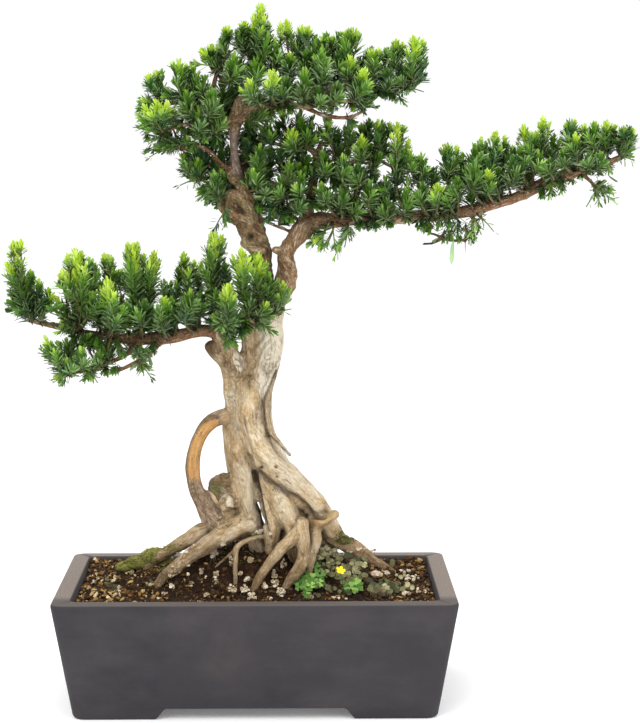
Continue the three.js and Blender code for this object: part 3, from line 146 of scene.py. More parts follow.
BRANCHES = strands_of("""
right_branch: 5, 62 509 -4 8, 90 511 -2 7.5, 115 512 0 7, 140 513 3 6.5, 165 514 4 6.5, 190 515 2 6.5
215 518 0 6, 235 522 -2 6.5, 255 528 0 6.8, 275 534 3 6.5, 295 544 4 6.5, 315 553 3 7, 335 561 0 6.2
352 565 -3 4.8, 370 570 -3 3.4, 387 578 0 2.2
right_twig: 4, 342 561 -2 2.6, 352 553 -8 2.2, 360 545 -12 1.8
dark_twig: 4, 229 519 -2 2.4, 230 504 -8 2, 226 492 -10 1.8, 211 488.5 -11 1.7, 190 495 -9 1.6
177 500 -8 1.6
dark_twig_loop: 4, 206 490 -11 1.6, 197 490 -10 1.6, 188 486 -9 1.6, 178 485 -9 1.6
dark_twig_drop: 4, 224 498 -9 1.4, 222 486 -9 1.1, 223 474 -9 .9
left_branch: 5, -30 386 1 8.5, -48 393 0 6.5, -66 392 -3 6, -84 387 -4 7.4, -104 385 -2 7.4, -126 384 0 5.5
-148 385 2 4.6, -166 388 2 4, -184 391 1 3.4, -204 396 0 2.8, -222 400 0 2.4, -240 405 0 2
left_low_twig: 4, -122 382 -2 3.4, -138 368 -10 2.8, -156 359 -14 2.4, -176 352 -16 2.1, -202 346 -16 1.6
left_low_twig_2: 4, -100 383 -6 3.2, -116 366 -14 2.6, -132 357 -18 2.2, -150 349 -18 1.7
front_twig: 4, -35 388 -4 4, -30 398 -22 3.2, -12 408 -30 2.6, 10 412 -30 2
crown_right: 5, -20 616 8 7, 8 630 5 6, 40 640 2 5.4, 75 648 0 4.8, 105 650 0 4.2, 135 650 -2 3.6
162 655 -4 2.4
crown_front: 4, 8 630 4 4.4, 28 630 -18 3.6, 55 630 -32 3, 84 634 -36 2.6, 108 636 -34 2
crown_back: 4, 20 634 6 4, 50 645 28 3.2, 88 653 36 2.6, 118 656 32 2
crown_arc: 4, 40 632 -22 2.6, 56 627 -24 2.3, 70 621 -26 2.2, 86 618 -27 2.2, 102 619 -26 2, 114 625 -24 1.8
crown_top: 5, -17 626 7 6, -9 648 5 4.8, -1 670 3 3.6, 3 690 1 2.4
crown_top_right: 4, -4 662 4 3.6, 20 668 8 3.2, 48 674 10 2.8, 76 676 8 2.4, 96 674 4 2
crown_left: 4, -21 606 8 5.5, -40 620 3 4.4, -60 630 0 3.6, -80 634 -2 2.8, -94 632 -4 2.2
crown_left_up: 4, -40 620 3 3.4, -44 644 4 2.8, -40 664 4 2.2
crown_left_front: 4, -34 616 4 3.6, -52 612 -16 2.8, -76 610 -22 2.3, -96 603 -22 1.8
left_twig: 4, -22 563 8 3, -37 570 0 2.4, -46 581 -4 2.2, -58 588 -6 2, -72 587 -7 1.9, -84 586 -9 1.6
mid_low_left: 4, -14 530 12 4, -30 540 14 3.2, -46 548 8 2.6, -60 555 2 2
mid_limb: 5, 46 502 -2 6.5, 56 522 2 5.6, 60 544 4 5.2, 63 562 4 4.6, 66 580 2 3.6, 70 592 0 2.6
mid_right: 4, 63 560 4 3.6, 84 568 -6 3, 106 572 -10 2.6, 125 575 -6 2.3, 145 566 -6 1.8
mid_left: 4, 59 538 4 3.6, 40 546 -10 3, 20 548 -18 2.4, 6 549 -20 2
mid_left_up: 4, 66 578 2 3, 52 588 -8 2.4, 40 590 -18 1.9
cross_twig: 4, -1 519 8 2.4, 12 509 6 1.9, 25 503 4 1.7, 41 497 0 2
""")
ROOTS = strands_of("""
arch_root: 6, -25 300 8 6, -37 300 1 9.5, -50 293 -5 8.6, -61 279 -11 7.6, -67 259 -12 7.6, -68 238 -11 8
-64 220 -8 8.4, -56 206 -3 9, -46 192 2 10, -34 172 8 8
mossy_knob: 6, -16 206 10 10, -35 218 6 12, -42 226 4 8.5
knob_top: 5, -18 218 10 9, -30 231 8 8, -36 234 7 5
arch_web: 6, -58 214 0 5, -50 212 4 8, -40 206 6 10, -30 196 8 10
pale_knob: 5, -20 213 2 7, -30 207 -6 8, -33 205 -10 6
left_root_back: 5, -20 190 12 12, -42 182 14 10, -62 174 18 9, -84 161 26 7.4, -106 147 36 7
-122 133 44 6.4, -134 114 50 4
left_root_front: 5, -8 186 2 13, -26 178 -2 11.5, -48 165 -6 9.4, -66 153 -10 8, -84 140 -14 7
-102 124 -18 5.4, -114 104 -20 3
front_root_left: 5, 44 184 -12 8, 40 170 -17 7, 26 156 -24 6, 12 138 -31 5.4, 2 123 -36 4.4, -5 106 -38 2.6
front_root_right: 5, 48 184 -13 8, 50 166 -18 7.2, 50 150 -22 6.8, 45 134 -28 6.4, 36 122 -32 5.2
27 106 -34 3
side_root: 5, 60 184 8 9, 63 165 -7 5.6, 60 152 -14 4.6, 57 138 -18 4, 55 118 -20 2.4
cut_root: 6, 62 184 3 8, 72 187 -7 5.2, 84 194 -9 4.6
hanging_root: 4, 4 170 -6 3, -12 165 -12 2.8, -21 158 -16 3, -23 142 -20 3, -23 124 -24 2.6, -23 108 -26 1.6
back_root: 5, 26 192 24 12, 16 160 48 9, 26 140 64 6.5, 34 116 78 4
back_root_left: 5, -12 184 28 11, -30 158 50 8, -46 140 66 6, -58 116 80 4
""")

# Fine strands that only show from near: flaps of bark, root hairs and knobs.
FINE_STRANDS = strands_of("""
bark_flap: 5, 22 362 -2 3.5, 17 342 -6 3.6, 13 322 -8 3.6, 12 300 -10 3.6, 17 282 -12 3, 27 269 -12 2.6
36 259 -14 1.8
inner_leg: 6, 7 224 0 7.5, 12 200 -6 8.2, 17 178 -8 8.8, 16 156 -4 7
arch_split: 4, -68 228 -14 3.6, -66 214 -14 3.4, -61 200 -11 3.2, -57 187 -7 2.6
leader_knob: 4, 28 477 -6 5, 21 479 -9 4
burl_ridge: 5, -34 531 0 5, -26 537 -6 6.5, -14 532 -8 6.5, -6 522 -8 5, 0 512 -4 3
burl_lip: 5, -35 524 2 5, -27 517 -6 5.5, -14 513 -8 4.5, -4 508 -6 3
twist: 5, -28 560 8 4, -22 552 1 5, -13 545 -3 5.5, -5 536 -3 6, 0 524 -1 5
collar: 5, -8 500 -4 5, 1 493 -6 5, 8 491 -2 4
scar_rim: 5, -12 486 -2 4.5, -4 480 -6 5, 8 478 -6 4
hair_root: 4, -21 158 -16 1.8, -32 148 -20 1.6, -45 136 -24 1.4
""")

# Leafy sprays: a shoot has base x, base z, tip x, tip z, depth, radius and youth in the front view.
SPRAYS = tables_of("""
left_tip: -240 410 -250 462 0 15 .15, -250 450 -252 489 0 7 1, -250 438 -264 467 -4 9 .8
-243 414 -265 427 -6 11 .1, -236 414 -227 444 4 11 .4, -228 408 -213 434 -4 10 .55
left_a: -187 402 -190 480 -4 14 .8, -190 426 -206 460 -10 10 .65, -183 415 -172 471 8 13 .05
-178 408 -171 437 -16 10 .4, -199 404 -213 431 -6 10 .5, -196 397 -209 404 -10 9 .7
left_b: -154 438 -156 475 20 9 .7, -153 402 -157 451 -30 12 .85, -150 398 -139 421 -38 13 .35
-166 402 -166 432 -4 12 .05
left_c: -125 418 -130 487 -8 13 .7, -113 425 -107 480 6 12 .8, -134 438 -143 460 22 9 .5
-124 404 -133 434 -16 13 0, -122 402 -118 428 -30 13 0
left_d: -99 396 -96 431 -38 12 .5, -92 418 -90 447 24 12 .2, -104 396 -112 416 -14 13 .05
-84 406 -90 430 -18 12 0
left_e: -75 405 -69 438 -36 12 .4, -73 430 -75 476 8 11 .8, -60 436 -58 468 24 8 .7
-60 412 -58 436 -10 12 .05
left_f: -42 436 -43 501 -4 11 .7, -46 440 -51 472 -10 9 .5, -35 432 -32 462 16 12 .1
-44 418 -49 447 -18 10 .4
left_g: -30 408 -29 445 -42 13 .8, -28 400 -12 413 -46 12 .3, -36 400 -46 412 -32 12 0
-30 394 -25 379 -32 10 .3
left_h: -14 432 -15 482 -30 12 .9, -8 412 -10 438 -40 12 .05, 4 430 3 477 -28 12 .8, 13 424 16 456 -26 11 .3
left_i: 27 422 30 447 -22 9 .5, 24 413 37 427 -28 10 .2, 6 408 13 424 -44 11 .5, 3 402 16 401 -34 10 .05
left_low_a: -208 352 -225 388 -18 10 .5, -200 358 -212 383 -8 11 .1, -197 349 -203 364 -28 10 .3
-200 347 -216 342 -20 9 .6, -195 358 -196 384 0 11 .1
left_low_b: -184 354 -187 377 -26 11 .4, -168 356 -166 372 -22 10 .15, -178 351 -175 339 -22 9 .4
-158 366 -162 390 -4 13 0
left_low_c: -124 368 -118 387 -22 10 .3, -121 357 -113 348 -22 10 .1, -132 376 -128 396 10 11 0
crown_a: -98 640 -112 664 4 9 .5, -97 642 -97 669 14 9 .05, -86 640 -94 652 -4 10 0
crown_b: -102 608 -118 632 -26 10 .8, -100 608 -104 638 -32 11 .85, -97 608 -91 636 -26 10 .7
-98 604 -122 616 -20 11 .3, -96 600 -112 600 -18 10 0
crown_c: -76 640 -80 680 -10 12 .5, -66 642 -64 678 2 12 .5, -55 640 -50 666 -6 11 .2
-68 622 -73 648 -26 13 .05
crown_d: -58 606 -60 630 -28 12 .1, -47 622 -44 651 -32 13 .1, -40 604 -35 628 -24 11 .1
crown_e: -40 670 -57 688 -6 11 .6, -38 674 -40 694 8 11 .6, -30 682 -31 714 4 9 .5
-24 658 -20 687 -26 13 .1
crown_f: 4 668 6 718 -4 14 .35, 6 706 7 738 -2 8 1, 1 692 -1 727 -6 8 .8, -8 684 -11 719 4 10 .6
-12 690 -20 710 16 8 0
crown_g: 20 670 22 702 -10 11 .4, 40 684 33 720 20 8 .85, 48 682 50 713 10 9 .7, 37 664 36 687 -20 11 .5
crown_h: 0 636 -8 659 -48 11 .7, 17 642 19 669 -50 11 .9, 30 640 33 662 -36 13 .05, 0 652 2 682 -20 13 .05
-2 614 14 626 -28 12 .15
crown_i: 52 664 54 690 -14 11 .3, 64 676 63 704 0 12 .3, 75 680 74 707 12 12 .3, 87 680 88 708 14 12 .2
crown_j: 100 670 101 712 0 13 .3, 100 655 100 683 -26 12 .6, 88 668 89 690 -10 11 .3
110 664 113 684 6 10 .05
crown_k: 70 652 70 691 -32 13 .1, 50 636 53 671 -50 13 .2, 85 636 88 657 -50 12 .3, 68 632 66 652 -44 12 0
crown_l: 108 640 115 671 -46 14 .6, 110 630 118 643 -30 9 .1, 124 662 122 690 -14 11 .5
136 660 136 687 8 11 .2
crown_m: 165 656 169 703 -10 13 .7, 170 654 181 681 8 12 .1, 160 650 174 652 -6 9 .05
148 668 148 700 -2 10 .4, 140 650 138 672 -24 12 0, 154 652 157 672 -16 11 0
crown_n: 36 644 32 682 38 12 .3, 60 650 62 692 46 13 .3, 92 656 92 698 50 13 .4, 76 642 80 666 62 12 .1
118 657 123 692 44 12 .2, 52 636 44 656 56 12 .05
mid_a: -70 562 -80 582 2 11 .5, -60 556 -62 578 -8 12 .1, -62 554 -77 556 -4 10 .05
mid_b: -44 544 -63 539 2 12 .25, -40 536 -44 563 -16 14 .35, -33 519 -38 506 -8 10 0
mid_c: -84 590 -100 599 -12 11 0, -90 588 -108 587 -14 9 0, -72 590 -78 606 -6 9 .05
mid_d: 4 560 5 592 -20 11 .4, 2 546 3 574 -30 12 .15, 10 536 15 552 -30 11 .2, -8 546 -12 568 -12 10 .1
mid_e: 26 536 28 558 -26 12 .1, 35 552 36 574 -22 11 .25, 46 538 49 562 -26 12 .4, 46 522 45 544 -24 12 .2
24 528 14 518 -6 11 0
mid_f: 40 586 38 608 -28 13 .75, 54 592 47 619 -10 11 .35, 59 590 60 614 -4 11 .35, 16 594 11 614 -10 11 .05
mid_g: 78 594 77 618 -4 10 .6, 86 580 88 606 4 12 .1, 99 590 99 616 0 10 .3, 74 560 70 584 -18 12 .05
mid_h: 112 574 112 601 -20 11 .7, 118 594 120 618 6 11 .1, 132 588 134 615 2 12 .1, 126 574 141 592 2 11 .05
124 564 134 582 -16 11 .3
mid_i: 93 558 92 580 -28 13 .4, 108 550 108 572 -28 13 .3, 75 530 69 551 -28 11 .4, 91 526 92 548 -28 13 .1
mid_j: 120 530 121 553 -28 12 .1, 139 540 136 558 -16 10 .05, 138 514 138 535 -26 12 .15
106 518 108 536 -24 12 .1
mid_k: 150 552 150 590 -6 12 .4, 149 583 150 614 -6 9 1, 164 562 162 586 -8 10 .45
158 520 160 547 -24 12 .1
mid_l: 175 554 176 582 0 11 .4, 187 550 186 573 12 10 .1, 175 528 175 552 -26 12 .1
192 528 193 550 -30 12 .7
mid_m: 74 500 60 486 -14 10 .6, 82 500 75 481 -12 9 .3, 98 500 87 480 -12 10 .3
right_a: 203 554 203 592 0 12 .4, 216 548 219 582 14 10 .15, 213 534 212 557 -24 12 .25
205 526 204 546 -24 12 .05
right_b: 229 558 232 592 4 12 .2, 240 564 243 594 14 10 .1, 230 544 231 574 -26 13 .2
244 558 246 579 -8 10 .4
right_c: 246 540 246 565 -30 10 .6, 254 546 258 567 -14 11 0, 252 572 253 603 0 10 .7
262 568 264 594 10 10 .3
right_d: 272 550 272 580 -26 13 .1, 282 564 280 590 -14 11 .3, 284 576 284 610 2 10 .9
292 578 293 606 -10 10 .5
right_e: 302 580 303 620 4 10 .9, 312 574 315 602 10 10 .1, 299 563 298 586 -18 12 0
311 560 310 577 -24 11 0
right_f: 333 584 332 617 -4 12 .2, 345 584 347 609 14 9 .05, 338 578 338 603 -16 10 .6
326 568 326 587 -22 10 .4
right_g: 357 584 357 615 0 11 .4, 370 584 370 616 4 12 .5, 351 566 355 584 -20 11 .25
363 566 364 584 -24 11 .15
right_h: 384 589 385 608 12 9 .5, 392 588 394 611 0 9 .15, 388 582 398 593 -6 10 .4, 388 577 400 576 -4 9 .1
right_i: 232 510 234 498 -14 10 .4, 240 512 250 508 -12 9 .2
right_j: 366 541 379 536 -16 11 .4, 361 547 372 551 -14 9 .1, 360 541 357 530 -14 8 .05
""")

# More shoots of the same sprays, in the same form, along the outline, round the limbs and under branches.
FILLING = tables_of("""
left_tip: -256 474 -255 490 2 7 1, -248 476 -248 491 -2 7 1, -256 455 -264 467 3 7 .8
-236 440 -238 460 4 7 .5, -230 430 -229 449 -4 8 .5, -222 424 -219 440 4 8 .6, -254 430 -264 437 -2 8 .1
left_a: -180 386 -184 376 -10 11 .05, -170 386 -170 376 -14 11 .05, -190 388 -196 382 -4 10 .1
-197 460 -199 477 -4 8 .8, -184 464 -184 479 4 8 .8, -190 466 -191 482 0 8 1, -204 440 -208 454 4 7 .6
-176 456 -176 472 -4 8 .3, -170 450 -169 465 4 7 .2
left_b: -160 462 -160 476 14 7 .7, -153 460 -153 474 10 7 .7, -164 434 -165 448 6 8 .1
left_c: -146 445 -145 459 8 7 .3, -134 472 -135 488 -8 7 .9, -126 472 -126 489 -2 7 .9
-119 460 -118 476 0 8 .5
left_d: -98 434 -97 449 0 7 .3, -84 430 -84 447 4 8 .3
left_e: -82 446 -82 462 6 7 .3, -76 462 -76 478 4 7 .9, -66 452 -65 469 6 7 .6
left_f: -44 478 -47 499 2 8 .7, -38 476 -36 497 -4 8 .7, -32 450 -31 466 -4 8 .3
left_g: -16 396 -14 383 -36 11 .3, -10 400 -6 389 -34 11 .2
left_h: -14 462 -14 480 -4 8 .6, -6 458 -4 476 -4 8 .5
left_low_a: -218 368 -226 380 -18 7 .3, -200 372 -202 386 -10 8 .4
left_low_b: -150 354 -152 351 -18 9 0, -160 354 -160 349 -8 9 0, -174 384 -175 368 -4 10 0
-186 384 -188 368 6 10 0, -160 384 -160 370 4 10 0, -146 386 -146 370 -4 10 0, -152 392 -154 382 -14 9 0
-180 382 -174 392 -12 10 .05, -144 372 -140 362 -16 9 0
left_low_c: -124 372 -131 362 -14 8 0, -108 384 -112 364 -8 9 0, -128 384 -130 374 4 9 0
-136 390 -138 380 -14 9 0, -120 390 -122 380 -14 9 0
crown_a: -108 648 -113 664 -4 9 .6, -102 655 -103 668 4 8 .6
crown_b: -104 630 -119 638 -6 9 .5, -112 636 -124 634 0 9 .1, -114 628 -126 624 0 9 0
crown_c: -84 664 -87 677 4 8 .5, -72 662 -71 674 -4 7 .5
crown_d: -42 606 -42 632 -2 11 .1, -34 600 -40 585 12 11 .1, -50 606 -56 590 14 11 .15
-62 612 -72 598 6 11 .1, -30 612 -30 644 18 12 .15, -26 622 -24 656 16 12 .2, -34 630 -34 662 8 12 .25
-52 605 -60 618 14 10 .05, -36 590 -44 606 24 10 0, -34 612 -46 622 20 10 .05, -30 628 -36 644 22 9 .05
crown_e: -50 678 -56 690 4 9 .5, -46 682 -46 695 -4 9 .6, -29 700 -27 714 4 8 .7
crown_f: -14 704 -11 718 -4 8 .6, 6 722 7 738 0 8 1, 13 704 16 717 4 7 .5
crown_g: 27 694 27 718 -4 6 .9, 33 700 34 720 4 7 1, 47 700 49 714 4 8 .8, 55 700 57 713 -4 8 .8
crown_h: 26 632 26 620 -20 9 0, -18 632 -20 652 26 9 .1, -22 640 -14 656 24 9 .1
crown_i: 70 690 70 702 4 8 .5, 81 692 80 704 -4 8 .6
crown_j: 95 694 96 710 4 8 .8, 104 696 106 711 -4 8 .8
crown_k: 100 634 104 626 -18 9 .1, 82 630 80 627 -20 8 .1
crown_l: 134 652 140 641 -10 11 .1, 148 656 150 641 4 11 .1, 126 650 128 638 4 10 .05
118 676 118 690 4 8 .4, 129 678 130 691 -4 8 .6, 138 680 138 692 4 8 .5, 134 648 134 640 0 8 0
118 634 124 644 -10 9 .1, 122 632 126 642 -8 8 .1
crown_m: 147 684 148 701 -4 7 .9, 154 682 155 697 4 7 .7, 165 686 166 704 -4 7 .8, 174 686 176 700 4 7 .7
144 650 146 635 -8 9 0, 154 650 155 638 6 8 0, 138 646 146 636 -12 9 0, 150 642 160 630 -12 9 0
mid_a: -58 560 -70 575 14 11 .3, -52 566 -56 585 18 11 .2, -44 560 -42 583 20 12 .3
-36 566 -34 590 22 11 .4, -50 572 -64 590 24 11 .1, -38 602 -44 586 6 10 0, -52 604 -52 590 -6 9 0
-62 592 -70 582 -6 8 .05, -44 584 -56 596 22 10 0, -58 580 -72 586 12 10 0, -66 576 -78 580 14 9 0
mid_b: -34 548 -46 562 4 11 .3, -30 540 -36 566 6 12 .45, -40 540 -58 545 2 11 .2, -36 530 -44 522 8 10 0
-42 534 -50 529 6 7 0, -44 536 -54 526 6 9 0, -36 562 -46 570 16 9 .05, -24 544 -34 556 20 9 0
mid_c: -60 606 -63 594 -10 9 0, -76 612 -82 602 -16 9 0, -50 592 -62 604 18 10 .05, -70 600 -80 606 6 9 .1
-110 584 -116 578 0 9 0, -78 616 -86 608 6 9 0, -88 608 -93 599 6 9 0, -112 600 -114 590 2 8 0
mid_d: -6 560 -4 590 24 12 .3, -2 575 -2 604 26 12 .15, 6 585 10 612 24 12 .1, -8 590 -6 620 24 11 .1
4 560 10 580 16 12 .3, 12 560 20 584 6 12 .2, 8 545 18 562 4 11 .2, 16 576 16 589 -4 9 .2
-6 585 -12 598 10 8 .1, -8 575 -13 585 10 7 .1, -30 572 -28 590 24 9 0, -8 604 -12 590 22 9 0
-4 590 -10 574 22 9 0, -2 578 -8 562 22 9 0, -6 562 -4 546 20 9 0, -12 600 -16 585 26 9 0
-14 582 -16 567 26 9 0
mid_e: 28 560 24 585 10 12 .15, 36 566 36 592 14 12 .2, 46 566 52 590 16 12 .15, 40 556 48 572 -6 11 .4
30 524 38 513 4 10 0, 18 530 14 521 6 9 0, 44 520 50 538 -14 11 .5, 27 576 27 587 -8 9 .2
60 556 58 568 -8 8 .1, 2 532 8 524 -10 8 .1, 34 522 34 511 -6 8 0, 26 522 27 513 -4 7 0, 4 518 12 526 22 9 0
16 512 24 518 20 9 0, 28 506 38 512 16 9 0, 4 530 4 516 -10 9 0, 14 528 18 514 -14 9 0
26 520 34 508 -14 9 0, 50 552 54 568 -8 9 .1, -2 522 6 524 -8 8 0, 34 520 41 506 -4 9 0
mid_f: 34 600 30 626 6 12 .2, 46 602 48 628 10 12 .15, 28 596 22 616 16 11 .1, 56 600 62 622 14 11 .2
36 634 38 620 -22 9 0, -10 590 -6 606 26 9 0, -6 600 4 612 28 9 0, 14 628 20 612 -14 9 .05
64 612 72 600 10 8 0
mid_g: 78 570 78 556 -16 11 .1, 70 560 72 548 6 11 .05, 54 566 58 580 -4 9 .1, 72 575 74 587 -6 8 .3
52 566 58 574 -4 9 .1, 98 616 108 608 -10 9 0, 72 620 80 612 -10 9 0
mid_h: 112 598 112 613 4 8 .5, 128 600 129 617 -4 8 .6, 141 600 142 614 4 8 .6
mid_i: 80 560 82 546 -8 10 0, 88 556 88 545 -4 8 0, 72 532 66 524 -4 8 0, 58 532 66 520 -10 9 0
66 530 76 520 -6 9 0, 86 552 84 540 -10 9 0, 96 574 100 588 -6 8 .2
mid_j: 112 508 108 500 -12 9 .1, 126 508 128 500 -10 9 .1, 140 510 142 502 -10 9 .1, 124 562 128 552 -8 8 0
142 542 145 533 -6 8 0, 118 508 119 499 -4 7 0, 122 558 128 550 -8 9 0, 146 542 146 528 -10 9 0
134 548 130 538 -8 8 0, 150 540 152 528 -8 9 0
mid_k: 160 560 160 551 -14 11 .2, 152 560 150 548 8 10 .1, 166 552 170 560 8 10 .2, 155 596 157 611 -4 7 .5
158 575 162 596 4 7 .8, 154 572 157 586 -6 7 .3, 163 552 166 545 -6 7 0, 180 508 179 496 -8 8 0
160 514 163 504 -4 8 0, 176 508 172 500 -10 9 0, 182 508 176 497 -12 9 0, 162 542 164 532 -6 9 0
mid_l: 196 514 192 498 -12 11 .1, 186 513 180 499 -8 11 .1, 174 512 168 502 -12 10 .1
168 566 170 579 4 7 .3, 186 504 182 494 -10 8 0
mid_m: 62 498 66 484 -6 8 0
right_a: 206 516 204 499 -12 11 .05, 214 516 214 496 -2 11 .05, 200 512 206 492 8 10 0
199 574 199 591 4 8 .8, 212 572 212 590 -4 7 .6
right_b: 228 530 228 538 -14 10 .1, 236 580 238 598 4 7 .5
right_c: 252 588 253 605 -4 7 .8, 263 584 263 600 4 7 .6, 266 550 266 541 -4 8 0
right_d: 271 576 272 589 -4 7 .4, 283 596 283 612 4 8 .8
right_e: 312 552 310 541 -10 10 .1, 322 556 320 543 -6 10 .1, 302 550 300 539 0 9 .05
302 545 303 532 -6 9 0, 312 548 313 534 2 9 0, 322 552 324 538 -6 9 0, 302 604 303 619 -4 7 1
320 586 322 598 6 7 .3, 303 542 302 531 -6 8 .1, 312 542 310 531 -6 8 .1
right_f: 328 600 328 614 -4 7 .6, 336 602 336 617 4 7 .8, 346 598 347 612 -4 7 .6
right_g: 358 600 358 615 4 7 .8, 370 600 370 615 -4 7 .8
right_h: 378 598 378 612 4 7 .6, 388 596 388 610 -4 7 .5, 396 592 398 608 2 7 .7
right_i: 207 500 208 488 -10 8 .1, 214 498 216 484 -8 8 .1, 200 498 198 485 -4 8 .1, 222 505 223 490 -6 7 .1
230 500 233 487 -8 7 .1, 205 496 202 485 -10 8 0, 228 496 230 483 -10 8 .2
right_j: 334 558 335 547 0 8 0, 344 562 345 553 -4 8 0, 353 566 354 557 -4 7 0, 363 569 364 559 2 7 0
373 572 374 561 -2 7 0, 372 545 380 536 -12 7 .2, 360 566 366 556 -6 9 0, 372 568 374 556 -6 9 .1
324 548 322 533 -8 8 .1
""")
# Leaves that stand out alone: foot x, foot z, tip x, tip z, depth, width and tint in the front view.
LONE_LEAVES = rows_of("""
210 491 206 463 -12 5 1.0, 372 558 383 549 -10 2.4 .2, 125 503 145 511 -14 4.6 1.0
330 572 350 566 -24 5 .95, 62 685 47 707 -14 4 .2, 382 572 398 578 -10 3.6 .1, 165 653 158 640 -10 3.6 1.0
152 640 146 631 -8 3.6 .95, 195 492 186 486 -12 2.6 .4, -118 364 -127 351 -16 4 .9
-114 368 -111 354 -15 4 .8, -123 361 -136 351 -17 3.6 .7, -40 405 -22 396 -38 4.4 .3
""")
# Gaps that show the sky between leaves: x, z, half width and half height in the front view.
OPEN_AIR = rows_of("""
-55 672 6 5, -51 668 5 6, -42 656 3 4, -90 662 5 9, -85 650 5 4, -25 692 3 6, -42 698 4 3, 38 692 2 9
33 687 4 3, 110 697 3 5, 108 684 5 3, 184 666 4 8, 177 646 9 10, 165 641 6 3, 128 634 5 4, 121 626 5 5
-105 598 5 3, -112 590 5 4, -100 577 12 4, -85 605 3 4, -78 600 2 5, -84 570 4 6, -75 548 12 5, -65 536 6 6
-40 513 6 9, -45 503 4 5, 60 625 6 5, 66 612 5 9, 90 616 9 6, 32 617 4 5, 28 605 3 3, 143 594 6 3
138 567 7 7, 161 560 6 6, 77 490 5 7, 81 494 8 9, 98 487 3 8, 83 473 7 4, 68 474 4 5, 95 480 4 6
-244 472 3 6, -270 452 4 8, -214 447 5 4, -208 436 6 4, -217 410 6 5, -212 404 4 3, -233 376 4 4
-216 336 8 3, -198 341 10 3, -181 334 6 5, -167 337 6 5, -168 333 4 4, -116 345 8 7, 20 450 2.5 10
40 417 9 8, 30 424 4 4, 31 406 5 8, -54 484 3 7, 20 462 4 16, 187 570 7 3, 194 577 3 7, 222 584 5 3
248 590 3 3, 280 592 4 6, 293 606 4 4, 313 609 3 5, 324 600 3 4, 402 580 3 6, 393 572 7 4, 350 535 5 8
349 524 5 6, 366 521 6 4, 244 510 7 6, 250 499 9 6, 240 492 5 6, -112 578 5 4, -109 600 4 4, -118 588 4 4
-93 655 4 5, -60 680 4 5, -46 658 4 4, -77 553 5 4, -69 532 5 4, -40 511 6 6, -28 499 6 6, -56 490 5 5
141 567 6 5, 158 600 4 4, 186 580 4 4, -40 701 3 4, 39 697 3 5
""")
# Sprays that get no extra shoots below, sprays that get no mirrored shoots and sprays with few leaves.
OPEN_BELOW = {"left_tip", "crown_m", "crown_b", "mid_c", "mid_a", "right_h", "crown_a"}
NO_PARTNERS = {"left_g", "left_h", "left_i", "left_low_a", "left_low_b", "left_low_c", "crown_d", "crown_h",
               "crown_j", "crown_k", "mid_b", "mid_e", "mid_h", "mid_m", "right_i", "right_j"}
SPARSE = {"right_i", "right_j"}
# Shoots at this depth or nearer get a mirrored partner behind the middle plane.
MIRROR_FROM = -26
# Wood that stays free of leaves: a line of the front view and how far leaves keep from it.
BARE_WOOD = [([(-19, 598), (-22, 575), (-18, 551), (-13, 530), (-4, 508)], 10),
             ([(-160, 389), (-150, 386), (-139, 383), (-123, 383), (-107, 385)], 6)]


# Geometry helpers

# Large numbers that turn a cell of the grid into a number that looks random.
HASH_X, HASH_Y, HASH_Z = 73856093, 19349663, 83492791
HASH_SEED, HASH_MIX = 40503, 1274126177


def noise(places, seed):
    """Smooth noise between -1 and 1; one unit of the places is one feature."""
    cell = np.floor(places).astype(np.int64)
    part = places - cell
    part = part * part * (3 - 2 * part)
    total = np.zeros(len(places))
    for corner in range(8):
        step = np.array([corner & 1, corner >> 1 & 1, corner >> 2 & 1])
        place = cell + step
        key = place[:, 0] * HASH_X ^ place[:, 1] * HASH_Y ^ place[:, 2] * HASH_Z ^ seed * HASH_SEED
        key = ((key ^ (key >> 13)) * HASH_MIX) & 0x7FFFFFFF
        value = ((key ^ (key >> 15)) & 0xFFFF) / 32767.5 - 1
        total += value * np.prod(np.where(step, part, 1 - part), axis=1)
    return total


def unit(vectors):
    return vectors / np.maximum(np.linalg.norm(vectors, axis=-1, keepdims=True), 1e-9)


def front_view(points):
    """Where points in millimetres show in the front view, as x and z on the plane y = 0."""
    share = (points[:, 1] - EYE[1]) / -EYE[1]
    return EYE[0] + (points[:, 0] - EYE[0]) / share, EYE[2] + (points[:, 2] - EYE[2]) / share


def curve_through(rows, spacing):
    """A smooth path through rows of place and radius: its points, radii and travelled lengths."""
    places = np.array([row[:3] for row in rows], float)
    radii = np.array([row[3] for row in rows], float)
    ends = [2 * places[0] - places[1], *places, 2 * places[-1] - places[-2]]
    points, widths = [], []
    for i in range(len(places) - 1):
        p0, p1, p2, p3 = ends[i:i + 4]
        pairs = ((p0, p1), (p1, p2), (p2, p3))
        d0, d1, d2 = [max(np.linalg.norm(b - a) ** 0.5, 1e-4) for a, b in pairs]
        t1 = ((p1 - p0) / d0 - (p2 - p0) / (d0 + d1) + (p2 - p1) / d1) * d1
        t2 = ((p2 - p1) / d1 - (p3 - p1) / (d1 + d2) + (p3 - p2) / d2) * d1
        count = max(2, int(np.linalg.norm(p2 - p1) / spacing) + 1)
        for t in np.arange(count) / count:
            points.append(p1 + t1 * t + (3 * (p2 - p1) - 2 * t1 - t2) * t ** 2
                          + (t1 + t2 - 2 * (p2 - p1)) * t ** 3)
            widths.append(radii[i] * (1 - t) + radii[i + 1] * t)
    points.append(places[-1])
    widths.append(radii[-1])
    points = np.array(points)
    steps = np.linalg.norm(np.diff(points, axis=0), axis=1)
    return points, np.array(widths), np.concatenate([[0], np.cumsum(steps)])


def turning_frames(points):
    """An across and a side vector at each point, carried along the path without twist."""
    along = unit(np.gradient(points, axis=0))
    across = np.cross([0, 0, 1] if abs(along[0][2]) < 0.9 else [0, 1, 0], along[0])
    result = []
    for direction in along:
        across = unit(across - direction * np.dot(across, direction))
        result.append((across, np.cross(direction, across)))
    return np.array([r[0] for r in result]), np.array([r[1] for r in result])


